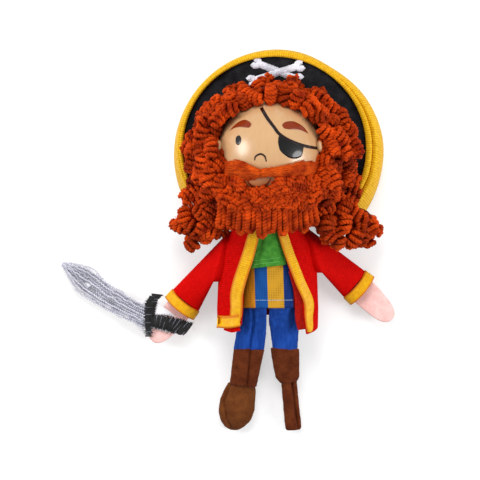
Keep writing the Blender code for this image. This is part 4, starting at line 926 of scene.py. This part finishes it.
def make_moustache():
    """A brushed-out band: a soft roll under hundreds of combed fibres."""
    top = smooth_path([(-18.2, -4.8), (-15.6, -3.8), (-13.0, -3.4), (-10.4, -3.7), (-8.2, -4.6), (-5.8, -5.8),
                       (-3.6, -6.4), (-1.4, -6.4), (1.4, -6.1), (4.5, -5.7), (8.4, -4.7), (12.0, -4.0),
                       (14.8, -3.8), (18.0, -4.2)], 8)
    foot = smooth_path([(-18.0, -8.4), (-16.0, -9.0), (-13.4, -9.6), (-10.6, -10.1), (-7.9, -10.2),
                        (-5.6, -9.9), (-3.4, -9.5), (-1.2, -9.3), (1.4, -9.4), (4.4, -9.7), (7.8, -10.1),
                        (11.6, -10.3), (14.8, -10.0), (17.8, -9.2)], 8)
    rise = 2.7

    def surface(u, v):
        spot = along(foot, u).lerp(along(top, u), v)
        x, y = HEAD.x + spot[0], HEAD.y + spot[1]
        taper = sqrt(max(1 - (2 * u - 1) ** 4, 0.05))
        tuft = (0.5 * noise.noise(Vector((x * 0.45, y * 1.1, 1.0)))
                + 0.25 * noise.noise(Vector((x * 1.2, y * 3, 5.0))))
        plump = rise * taper * (0.1 + 0.9 * sin(pi * min(max(v, 0), 1)) ** 0.55) * (1 + 0.5 * tuft)
        return Vector((x, y, ball_front(x, y) + 0.1 + plump))

    bm = face_up(cloth(140, 26, surface, (34, 4)))
    solid(made("moustache_roll", bm, BRUSHED, ["moustache"]), 0.7)
    hairs = []
    for _ in range(1500):
        u, v = RNG.random(), RNG.uniform(0.02, 0.98)
        away = 1 if u > 0.46 else -1
        length = RNG.uniform(0.04, 0.13)
        slant = RNG.uniform(-0.16, 0.16)
        bulge = RNG.uniform(0.05, 0.8)
        row = []
        for s in (0, 0.25, 0.5, 0.75, 1):
            root = surface(min(max(u + away * length * s, 0), 1), v + slant * s)
            row.append(root + Vector((0, 0, 0.05 + bulge * sin(pi * s))))
        hairs.append(row)
    threads("moustache_hairs", hairs, 0.19, BRUSHED, (), rounds=0, ends=0.3)


# Hat

def felt_between(outer, inner, z):
    """Flat felt between two edges, with the faint waves of a cut sheet."""
    def place(u, v):
        spot = along(inner, v).lerp(along(outer, v), u)
        wave = 0.12 * noise.noise(Vector((spot.x * 0.12, spot.y * 0.12, z)))
        return spot.x, spot.y, z + wave

    bm = face_up(cloth(24, 160, place, (18, 140)))
    bmesh.ops.remove_doubles(bm, verts=bm.verts, dist=0.001)
    return bm


def make_hat():
    """Two felts, the back one flat on the floor, and the ribbon that joins their round edges."""
    start, end = HAT_ARC
    rear = arc(HAT_BACK, HAT_BACK_RADIUS, start, end)
    chord = [rear[0].lerp(rear[-1], k / 120) for k in range(121)]
    bm = felt_between(rear, chord, HAT_THICK)
    back = solid(made("hat_back_felt", bm, HAT_FELT, ["hat_back"]), HAT_THICK)

    cutout = sqrt(HEAD_RADIUS ** 2 - (HEAD.z - HAT_DEPTH) ** 2) + 0.3
    outer = arc(HAT_FRONT, HAT_FRONT_RADIUS, start + 4, end - 3)
    inner = arc(HEAD.xy, cutout, -38, 212)
    bm = felt_between(outer, inner, HAT_DEPTH)
    front = solid(made("hat_front_felt", bm, HAT_FELT, ["hat_front"]), HAT_THICK)

    def ribbon(u, v):
        """u runs round the hat, v from the fold in front to the floor."""
        turn = radians(start - 1 + (end + 2 - start) * v)
        tip = min(1, 9 * min(v + 0.03, 1.03 - v))
        out = Vector((cos(turn), sin(turn), 0))
        flat_spot = 1.5 * exp(-((turn - 0.98) / 0.3) ** 2) - 0.5 * exp(-((turn - 0.15) / 0.25) ** 2)
        fore = Vector((*HAT_FRONT, HAT_DEPTH + RIBBON_FOLD * tip)) + out * (HAT_FRONT_RADIUS + 0.35)
        floor = Vector((*HAT_BACK, 0.0)) + out * (HAT_BACK_RADIUS + 0.25 + RIBBON_THICK - flat_spot)
        room = (floor - fore).dot(out)
        fold = 0.24 * room * tip
        lip = fold + 0.24 * room
        wide = 0.5 + 0.5 * cos(turn)
        if u < 0.12:
            s = u / 0.12
            return fore + out * (fold * s) - Vector((0, 0, 0.6 * (1 - s)))
        if u < 0.3:
            s = (u - 0.12) / 0.18
            dip = sin(pi * s) * (0.6 + 2.0 * wide)
            return fore + out * (fold + (lip - fold) * s) - Vector((0, 0, dip + 0.3 * s))
        s = (u - 0.3) / 0.7
        bend = fore + out * lip - Vector((0, 0, 0.3))
        swell = out * (RIBBON_BULGE * (0.15 + 0.85 * wide) * sin(pi * s ** 0.8) * tip)
        sag = Vector((0, 0, 0.6 * sin(pi * s) + 0.12 * sin(24 * turn) * s * (1 - s)))
        return bend.lerp(floor, s) + swell + sag

    length = radians(end - start) * (HAT_BACK_RADIUS + 1)
    band = cloth(28, 220, ribbon, (15.0, length))
    outward = band.faces[:][len(band.faces) // 2]
    if outward.normal.dot(outward.calc_center_median() - Vector((*HAT_BACK, 0))) < 0:
        bmesh.ops.reverse_faces(band, faces=band.faces)
    piece = solid(made("hat_band", band, RIBBON, ["hat_ribbon"]), 0.5)


def stitched(side_a, side_b, pitch, height, swell, overshoot=0.12):
    """Satin stitches from one edge to the other, raised in their middles."""
    a, b = smooth_path(side_a, 10), smooth_path(side_b, 10)
    length = sum((q - p).length for p, q in zip(a, a[1:]))
    number = max(2, ceil(length / pitch))
    rows = []
    for k in range(number):
        start, end = along(a, k / (number - 1)), along(b, k / (number - 1))
        run = (end - start).normalized()
        start, end = start - run * RNG.uniform(0, overshoot), end + run * RNG.uniform(0, overshoot)
        row = []
        for s in (0, 0.25, 0.5, 0.75, 1):
            x, y = start.lerp(end, s)
            row.append(Vector((x, y, height(x, y) + swell * sqrt(max(sin(pi * s), 0)) + 0.06)))
        rows.append(row)
    return rows


def make_crossbones():
    """Two crossed bones in satin stitch: long shafts over each other, each end with its two knobs."""
    top = HAT_DEPTH + 0.15
    bones = (((-5.7, 33.6), (11.4, 26.8), 0.0), ((-7.4, 26.2), (12.0, 32.5), 0.35))
    rows = []
    for start, end, lift in bones:
        a, b = Vector(start) + HEAD.xy, Vector(end) + HEAD.xy
        run = (b - a).normalized()
        across = Vector((-run.y, run.x))
        length = (b - a).length

        def edge(points, sign):
            return [tuple(a + run * s + across * (sign * w)) for s, w in points]

        def flat(x, y, level=top + lift):
            return level

        shaft = [(1.2, 1.3), (3.4, 1.12), (length / 2, 1.2), (length - 3.4, 1.12), (length - 1.2, 1.3)]
        rows += stitched(edge(shaft, 1), edge(shaft, -1), 0.25, flat, 0.7)
        for end_s, inward in ((0.0, 1), (length, -1)):
            for sign in (-1, 1):
                knob = [(end_s + inward * s, w) for s, w in ((2.2, 0.2), (1.0, 0.15), (-0.1, 0.4))]
                rim = [(end_s + inward * s, w) for s, w in ((2.4, 1.5), (0.9, 2.2), (-0.6, 1.6))]
                rows += stitched(edge(knob, sign), edge(rim, sign), 0.22, flat, 0.6)
    threads("crossed_bones", rows, 0.16, WHITE_THREAD, ["crossbones"])


# Clothes

def shirt_surface(u, v):
    """A point of the shirt: u runs round the body, v from the shoulders to the hem."""
    y = SHOULDER_Y - SHIRT_LENGTH * v
    z, half_w, half_d = body_section(y)[:3]
    t = 2 * pi * u
    return BODY_X + half_w * cos(t), y, z + half_d * sin(t)


def make_shirt():
    """The striped tube for a finger, gathered at the top into the ball's hole; returns its front."""
    neck = Vector((HEAD.x, HEAD.y - sqrt(HEAD_RADIUS ** 2 - NECK_HOLE_RADIUS ** 2), HEAD.z))
    gather = 0.12

    def place(u, v):
        if v > gather:
            return shirt_surface(u, (v - gather) / (1 - gather))
        s = v / gather
        t = 2 * pi * u
        ring = Vector((neck.x + 4.6 * cos(t), neck.y + 4.5 * (1 - s), neck.z + 4.6 * sin(t)))
        return ring.lerp(Vector(shirt_surface(u, 0)), max(0, (s - 0.5) / 0.5))

    bm = cloth(72, 60, place, (74, 42), wrap=True)
    top = front_of(bm)
    piece = solid(made("finger_shirt", bm, SHIRT, ["finger_tube"]), 0.8)
    return top


def coat_surface(u, v):
    """u runs from the front edge on the sword side round the back to the other front edge."""
    drop = 6.2 + 3.4 * max(0, (u - 0.8) / 0.2) - 3.4 * sin(pi * u) ** 4
    y = SHOULDER_Y - (SHIRT_LENGTH + drop) * v
    z, _, _, half_w, half_d = body_section(y)
    start = acos((front_edge(y, True) - COAT_X) / half_w)
    end = 2 * pi + acos((front_edge(y, False) - COAT_X) / half_w)
    t = start + (end - start) * u
    front = 0.5 + 0.5 * cos(2 * pi * u)
    flute = 0.35 * v * (1 - front) * cos(14 * t)
    fold = front * v * (0.35 * sin(9 * t + 2.5 * v) + 0.2 * sin(17 * t))
    return (COAT_X + (half_w + flute) * cos(t), y,
            z + (half_d + fold) * sin(t) + 0.12 * noise.noise(Vector((u * 22, v * 6, 3.0))))


def make_coat():
    """The open red coat; returns the piece and its front."""
    bm = cloth(150, 70, coat_surface, (96, 40))
    outward = min(bm.faces, key=lambda f: f.calc_center_median().z)
    if outward.normal.z > 0:
        bmesh.ops.reverse_faces(bm, faces=bm.faces)
    top = front_of(bm)
    # The coat's inner face is the darker red, a painted shade
    return solid(made("coat", bm, RED, ["coat_body"]), COAT_WALL, lining=INSIDE_SHADE), top


def make_trims(coat_top):
    """Ribbon along the coat's front edges and its hem, and the cloth that is turned under."""
    def ripple(u, v):
        return 0.12 * sin(2 * pi * u) * sin(19 * v) + 0.1 * sin(31 * v)

    def curl(u, v):
        return 0.1 * sin(11 * v) * (1 - u)

    low = HEM_Y - 6.2
    half = TRIM_WIDTH / 2
    for name, sword_side, last in (("front_trim_sword_side", True, low + 1.2),
                                   ("front_trim_free_side", False, low - 2.6)):
        points = []
        for share in (0, 0.25, 0.5, 0.7, 0.85, 0.95, 1):
            y = SHOULDER_Y - 3.6 + (last - SHOULDER_Y + 3.6) * share
            width = half * (1 + 0.18 * sin(pi * share)) if sword_side else half * 0.9
            if not sword_side and y < HEM_Y + 3:
                width *= 1 - 0.4 * (HEM_Y + 3 - y) / (HEM_Y + 3 - last)
            if share == 1:
                width *= 0.6
            inward = -width if sword_side else width
            points.append((front_edge(y, sword_side) + inward * 0.96, y, width))
        bm = strip(points, coat_top, 0.3, 8, 10, ripple)
        piece = solid(made(name + "_ribbon", bm, TRIM, [name]), 0.45, 1.0)
    hem = [(HEAD.x - 19.2, low + 1.2, 2.2), (HEAD.x - 15.0, low + 1.1, 2.3), (HEAD.x - 10.9, low + 1.7, 2.2)]
    fold = [(HEAD.x - 16.4, low - 1.2, 0.7), (HEAD.x - 13.6, low - 1.8, 0.9), (HEAD.x - 10.8, low - 1.2, 0.8)]
    facing = from_head([(7.2, -43.0, 0.4), (9.6, -48.8, 1.2), (10.9, -54.0, 1.7), (11.2, -60.0, 1.9),
                        (11.8, -64.4, 1.5)])
    # The turned front edge is coloured darker than the coat, a painted shade
    rows = (("hem_trim_ribbon", hem, 0.5, TRIM, ["hem_trim_sword_side"], "yellow_ribbon"),
            ("turned_hem", fold, -0.4, RED, (), "red_ribbed_cloth"),
            ("turned_front_edge", facing, -1.1, FACING, (), "red_ribbed_cloth"))
    for name, points, lift, material, nodes, slot in rows:
        bm = strip(points, coat_top, lift, 6, 10, curl)
        solid(made(name, bm, material, nodes), 0.45, 1.0)


def sleeve_frame(side):
    """The two corners where a sleeve leaves the coat, their middle, and the ways along and across it."""
    root_y = SHOULDER_Y - (7.0 if side < 0 else 3.7)
    foot_y = root_y - 16.5
    steps = [root_y + (foot_y - root_y) * k / 11 for k in range(12)]
    reach = [(body_section(y)[3], y) for y in steps]
    slope = (reach[-1][0] - reach[0][0]) / (foot_y - root_y)
    bulge = max(half_w - reach[0][0] - slope * (y - root_y) for half_w, y in reach)
    corners = [Vector((COAT_X + side * (half_w + bulge + 0.85), y)) for half_w, y in (reach[0], reach[-1])]
    turn = radians(231.2 if side < 0 else -40.0)
    run = Vector((cos(turn), sin(turn)))
    across = Vector((run.y, -run.x)) * side
    if across.y < 0:
        across = -across
    middle = Vector(((corners[0].x + corners[1].x) / 2, (root_y + foot_y) / 2))
    return corners, middle, run, across


def sleeve_z(distance):
    """The height of an arm's middle, which sinks towards the hand."""
    shoulder = body_section(SHOULDER_Y - 12)[0]
    return shoulder + (4.0 - shoulder) * min(distance / SLEEVE_LENGTH, 1) ** 0.8


def arm_point(side, distance, turn, width, thick):
    """A point of a flattened ring round the arm; a distance below 0 is inside the coat."""
    corners, middle, run, across = sleeve_frame(side)
    reach = min(max(distance / SLEEVE_LENGTH, 0), 1)
    end = middle + run * SLEEVE_LENGTH
    a = corners[0].lerp(end + across * width / 2, reach)
    b = corners[1].lerp(end - across * width / 2, reach)
    beyond = run * max(distance - SLEEVE_LENGTH, 0)
    sunk = max(-distance, 0)
    a += Vector((-side, 0.9)) * sunk
    b += Vector((-side, 0.0)) * sunk
    mid, half = (a + b) / 2 + beyond, (a - b) / 2
    c = cos(turn)
    flat = abs(c) ** 0.9 * (1 if c > 0 else -1)
    z = sleeve_z(max(distance, 0)) - 0.5 * sunk
    return Vector((mid.x + half.x * flat, mid.y + half.y * flat, z + thick / 2 * sin(turn)))


def make_sleeves():
    """A creased sleeve on each side, with a ribbon cuff round its end."""
    for side, prefix in ((-1, "sword"), (1, "free")):
        def place(u, v, side=side):
            turn = 2 * pi * u
            crease = 0.5 * exp(-2.2 * v) * sin(9 * v + 3 * sin(turn)) + 0.25 * sin(6 * v + 2 * turn)
            distance = v * (SLEEVE_LENGTH + SLEEVE_SUNK) - SLEEVE_SUNK
            return arm_point(side, distance, turn, 12.5, 8.6 - 2.2 * v + crease)

        bm = cloth(72, 48, place, (44, SLEEVE_LENGTH), wrap=True)
        piece = made(prefix + "_arm_sleeve", bm, SLEEVE_RED, [prefix + "_sleeve"])
        # The sleeve's inner face is the darker red, a painted shade
        solid(piece, COAT_WALL, lining=INSIDE_SHADE)

        def cuff(u, v, side=side):
            turn = 2 * pi * u
            distance = SLEEVE_LENGTH + 4.0 * v - 0.6 + 0.9 * sin(turn) ** 2
            return arm_point(side, distance, turn, 13.2 + 0.5 * v, 7.3 + 0.1 * sin(5 * turn))

        bm = cloth(72, 10, cuff, (36, 4.2), wrap=True)
        piece = solid(made(prefix + "_cuff_ribbon", bm, CUFF, [prefix + "_cuff"]), 1.2)


def make_hands():
    """Flat felt hands, cut out like leaves, that reach out of the cuffs."""
    for side, prefix, hand_deg, palm in ((-1, "sword", 230.0, 14.9), (1, "free", -44.0, 14.4)):
        _, middle, run, _ = sleeve_frame(side)
        start = middle + run * (SLEEVE_LENGTH - 2.0)
        wrist = middle + run * (SLEEVE_LENGTH + 4.0)
        reach = Vector((cos(radians(hand_deg)), sin(radians(hand_deg))))
        across = Vector((-reach.y, reach.x))
        widths = [(0.0, 4.9), (0.4, 4.6), (0.68, 4.1), (0.85, 3.3), (0.95, 2.2), (1.0, 0.9)]
        left = [start + across * 4.2] + [wrist + reach * (palm * s) + across * w for s, w in widths]
        right = [start - across * 4.2] + [wrist + reach * (palm * s) - across * w for s, w in widths]
        outline = [tuple(p) for p in smooth_path(left + right[::-1], 6)]
        low = sleeve_z(SLEEVE_LENGTH) - 0.9
        piece = made(prefix + "_felt_hand", plate_of(outline, lambda x, y: low, 1.8, 0.5), HAND_FELT,
                     [prefix + "_hand"])


def running_stitches(number, left, width, share, y_at, height, lift):
    """A row of single stitches that stand up in their middles; share is where each one starts and ends."""
    rows = []
    for k in range(number):
        x0, x1 = (left + width * (k + part) / number for part in share)
        y = y_at(x0)
        bends = ((x0, 0), ((x0 + x1) / 2, lift), (x1, 0))
        rows.append([Vector((x, y, height(x, y) + rise)) for x, rise in bends])
    return rows


def make_cravat(shirt_top):
    """A pleated green cloth on the shirt, between the coat's edges, with two rows of stitches."""
    top, foot = SHOULDER_Y - 2.0, SHOULDER_Y - 18.6

    def place(u, v):
        y = top + (foot + 1.4 * u - top) * v
        left = front_edge(y, True) - 0.2
        right = min(BODY_X + 3.0 + 2.8 * v, front_edge(y, False) + 0.2)
        x = left + (right - left) * u
        return x, y, shirt_top(x, y) + 0.9 + 0.25 * cos(5 * pi * u) + 0.1 * sin(9 * v + 4 * u)

    bm = face_up(cloth(36, 40, place, (11, 16)))
    surface = front_of(bm)
    piece = solid(made("green_cravat", bm, GREEN, ["cravat"]), 0.6)
    rows = []
    for rise in (1.5, 2.9):
        def slant(x, low=foot + rise):
            return low + 0.12 * (x - BODY_X + 6)

        rows += running_stitches(12, BODY_X - 6.2, 9.4, (0.12, 0.82), slant, surface, 0.14)
    threads("cravat_stitches", rows, 0.1, GREEN_STITCH, ())


def make_shirt_stitches(shirt_top):
    rows = running_stitches(16, BODY_X - 5.9, 14.0, (0.08, 0.9), lambda x: HEM_Y + 2.9, shirt_top, 0.1)
    threads("shirt_hem_stitches", rows, 0.07, STITCH, ())


# Legs

def softened(node, name, material, voxel, grow, creases, upper, lower):
    """A felt or stuffed piece: the CAD solid remeshed, rounded, creased and made longer at its two ends."""
    bm = bmesh.new()
    bm.from_mesh(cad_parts[node].data)
    bmesh.ops.remove_doubles(bm, verts=bm.verts, dist=0.000001)
    mesh = bpy.data.meshes.new(name)
    bm.to_mesh(mesh)
    bm.free()
    work = bpy.data.objects.new(name + " work", mesh)
    bpy.context.scene.collection.objects.link(work)
    net = work.modifiers.new("net", "REMESH")
    net.mode = "VOXEL"
    net.voxel_size = voxel * MM
    round_off = work.modifiers.new("round", "SMOOTH")
    round_off.factor = 0.5
    round_off.iterations = 6
    bpy.context.view_layer.update()
    netted = bpy.data.meshes.new_from_object(work.evaluated_get(bpy.context.evaluated_depsgraph_get()))
    bpy.data.objects.remove(work, do_unlink=True)
    bm = bmesh.new()
    bm.from_mesh(netted)
    bmesh.ops.scale(bm, vec=(1 / MM, 1 / MM, 1 / MM), verts=bm.verts)
    bm.normal_update()
    moves = []
    for vert in bm.verts:
        push = grow + 0.1 * noise.noise(vert.co * 0.35) + 0.05 * noise.noise(vert.co * 1.7)
        for line, width, depth in creases:
            push -= depth * exp(-(near_line(vert.co, line) / width) ** 2) * max(vert.normal.z, 0)
        moves.append((vert, vert.normal * push))
    for vert, move in moves:
        vert.co += move
    foot, head = min(v.co.y for v in bm.verts), max(v.co.y for v in bm.verts)
    for vert in bm.verts:
        share = (vert.co.y - foot) / (head - foot)
        vert.co.y += upper * share ** 2 - lower * (1 - share) ** 2
        vert.co.z = max(vert.co.z, 0.0)
    return made(name, bm, material, [node])


def near_line(point, line):
    """How far a point is from a line of (x, y) points, seen from above."""
    best = 1e9
    spot = point.xy
    for a, b in zip(line, line[1:]):
        a, b = Vector(a), Vector(b)
        run = b - a
        t = min(max((spot - a).dot(run) / run.length_squared, 0), 1)
        best = min(best, (spot - a - run * t).length)
    return best


def make_legs():
    """Trousers, boot and peg; a crease is a line of points, its width and its depth."""
    hem, top = HEM_Y, HEM_Y - 15.4
    x_leg, x_peg_leg = BODY_X - 6.1, BODY_X + 5.0
    x_boot, x_peg = BODY_X - 5.0, BODY_X + 5.2
    pieces = (
        ("trouser_leg_boot_side", "trouser_leg_with_boot", BLUE, "blue_cotton", 0.42, 0.14, 0.0, 0.5, 0.5,
         [([(x_leg - 0.6, hem), (x_leg - 0.2, hem - 4), (x_leg - 1.4, hem - 15)], 0.5, 1.0),
          ([(x_leg + 2.6, hem - 2), (x_leg + 2.0, hem - 12)], 0.9, 0.3)]),
        ("trouser_leg_peg_side", "trouser_leg_with_peg", BLUE, "blue_cotton", 0.42, 0.14, 0.0, 0.5, 0.5,
         [([(x_peg_leg + 3.4, hem), (x_peg_leg + 2.8, hem - 14)], 0.8, 0.5),
          ([(x_peg_leg - 2.6, hem - 1), (x_peg_leg - 1.2, hem - 9)], 0.8, 0.35)]),
        ("boot_shaft", "boot_shaft_felt", BOOT_FELT, "brown_felt", 0.4, 0.15, 0.5, 0.6, 0.5,
         [([(x_boot - 2.2, top + 1), (x_boot - 3.6, top - 14)], 0.5, 1.2)]),
        ("boot_foot", "boot_foot_felt", FOOT_FELT, "brown_felt", 0.4, 0.15, 0.5, 1.4, 0.8,
         [([(x_boot - 9.9, top - 13.6), (x_boot - 12.0, top - 19), (x_boot - 11.0, top - 25),
            (x_boot - 9.1, top - 28.4)], 0.6, 1.1)]),
        ("peg_boot_cuff", "peg_cuff_felt", BOOT_FELT, "brown_felt", 0.36, 0.2, 0.5, 0.4, 0.4,
         [([(x_peg + 2.0, top), (x_peg + 2.2, top - 8)], 0.9, 0.45)]),
        ("peg_leg", "peg_felt", BOOT_FELT, "brown_felt", 0.36, 0.12, 1.6, 0.8, 0.7,
         [([(x_peg + 2.3, top - 10), (x_peg + 5.4, top - 30)], 0.5, 1.3)]))
    for node, name, material, slot, voxel, grow, upper, lower, fill, creases in pieces:
        piece = softened(node, name, material, voxel, grow, creases, upper, lower)


# Sword

def make_sword():
    """Embroidery on a backing film, over the hand: a blade of zigzag threads and a satin stitched hilt."""
    _, middle, run, _ = sleeve_frame(-1)
    hilt = middle + run * (SLEEVE_LENGTH + 4.0) + Vector((0.8, -0.7))
    hand_top = sleeve_z(SLEEVE_LENGTH) + 0.9
    edge_x = hilt.x - 8.0
    slope = 4.4 / 36.0

    def height(lift):
        return lambda x, y: hand_top + 0.35 + lift - slope * (edge_x - x)

    def placed_at(points):
        return [(hilt.x + x, hilt.y + y) for x, y in points]

    backing = [(-11.0, 4.6), (-7.8, 3.2), (-7.6, -0.8), (-1.4, -1.9), (3.8, -3.9), (2.0, -8.2), (-4.0, -7.7),
               (-10.3, -6.0), (-11.0, -9.3), (-12.6, -9.3),
               (-14.0, -5.0), (-19.4, -1.8), (-25.0, 1.0), (-31.0, 4.5), (-38.0, 9.2), (-42.6, 16.6),
               (-36.2, 16.4), (-31.6, 13.6), (-25.6, 8.8), (-17.0, 3.9)]
    made("sword_backing_film", plate_of(placed_at(backing), height(0), 0.5, 0.12), BACKING, ["sword_backing"])

    upper = smooth_path(placed_at([(-12.6, 2.2), (-16.8, 4.4), (-21.0, 7.2), (-25.0, 9.6), (-30.8, 14.6),
                                   (-33.5, 16.5), (-37.0, 17.5), (-41.0, 18.1), (-43.6, 17.6)]), 8)
    lower = smooth_path(placed_at([(-13.0, -5.8), (-19.2, -3.3), (-25.1, -0.6), (-30.2, 2.2), (-35.4, 5.2),
                                   (-38.2, 7.3), (-40.4, 10.6), (-42.4, 14.6), (-43.7, 17.2)]), 8)
    slots = [(placed_at([(-33.0, 9.0)])[0], 3.6, 0.8), (placed_at([(-25.6, 4.0)])[0], 2.6, 0.6)]
    top_z = height(0.75)
    tones = {"blade_threads": [], "blade_shade_threads": [], "blade_highlight_threads": []}
    lines, steps = 16, 110
    for k in range(lines):
        v = k / (lines - 1)
        row = []
        for j in range(steps + 1):
            u = j / steps
            spot = along(lower, u).lerp(along(upper, u), 0.03 + 0.94 * v)
            ahead = along(lower, u + 0.02).lerp(along(upper, u + 0.02), v)
            behind = along(lower, u - 0.02).lerp(along(upper, u - 0.02), v)
            flow = (ahead - behind).normalized()
            side = Vector((-flow.y, flow.x))
            spot = spot + side * (0.24 * (-1) ** j + 0.5 * noise.noise(Vector((j * 0.16, k * 0.9, 0))))
            for centre, long, wide in slots:
                off = spot - Vector(centre)
                a, b = off.dot(flow), off.dot(side)
                inside = 1 - (a / long) ** 2
                if inside > 0 and abs(b) < wide * 2.4:
                    push = wide * inside
                    pushed = push + abs(b) * (2.4 * wide - push) / (2.4 * wide)
                    spot = spot + side * ((-pushed if b < 0 else pushed) - b)
            row.append(Vector((spot.x, spot.y, top_z(spot.x, spot.y) + 0.12 * ((j + k) % 2))))
        # Pale rows are painted highlight and grey rows painted shade, so that the rows stand apart; the two
        # edge rows stay plain silver
        tone = ("blade_highlight_threads", "blade_shade_threads", "blade_threads", "blade_shade_threads")[k % 4]
        if k in (0, lines - 1):
            tone = "blade_threads"
        tones[tone].append(row)
    for name, radius, material, nodes in (("blade_threads", 0.24, SILVER, ["sword_blade"]),
                                          ("blade_shade_threads", 0.2, SILVER_DARK, ()),
                                          ("blade_highlight_threads", 0.26, SILVER_HIGHLIGHT, ())):
        threads(name, tones[name], radius, material, nodes)

    sides = {"guard": ([(-9.9, 6.6), (-12.0, 3.8), (-12.9, 0.4), (-12.9, -4.0), (-12.4, -9.0)],
                       [(-6.9, 6.3), (-8.9, 3.8), (-9.8, 0.4), (-10.5, -4.0), (-10.9, -9.0)]),
             "grip": ([(-10.4, -1.0), (-5.0, -1.9), (0.0, -3.0), (3.6, -4.4), (4.0, -5.2)],
                      [(-10.6, -5.4), (-6.5, -6.0), (-3.1, -7.1), (0.4, -7.9), (2.2, -7.6)])}
    edges = {key: [placed_at(side) for side in pair] for key, pair in sides.items()}

    def hilt_rows(key, pitch, swell, overshoot):
        return stitched(*edges[key], pitch, top_z, swell, overshoot)

    guard = hilt_rows("guard", 0.3, 0.55, 0.7)
    grip = hilt_rows("grip", 0.3, 0.65, 0.8)
    loose = hilt_rows("guard", 0.6, 0.7, 1.6) + hilt_rows("grip", 0.6, 0.8, 1.9)
    # Sparse grey threads over the black hilt: painted glints of the satin's sheen
    glints = hilt_rows("guard", 1.3, 0.62, 1.0) + hilt_rows("grip", 1.2, 0.72, 1.1)
    threads("hilt_loose_threads", loose, 0.1, BLACK_THREAD, (), ends=0.6)
    threads("hilt_glint_threads", glints, 0.07, SILVER_DARK, (), ends=0.6)
    threads("sword_guard_threads", guard, 0.17, BLACK_THREAD, ["sword_hilt"])
    threads("sword_grip_threads", grip, 0.17, BLACK_THREAD, ())


studio()
make_head()
make_face()
make_ears()
make_hat()
make_crossbones()
make_hair()
make_beard()
make_moustache()
SHIRT_TOP = make_shirt()
COAT, COAT_TOP = make_coat()
make_trims(COAT_TOP)
make_sleeves()
make_hands()
make_cravat(SHIRT_TOP)
make_shirt_stitches(SHIRT_TOP)
make_legs()
make_sword()
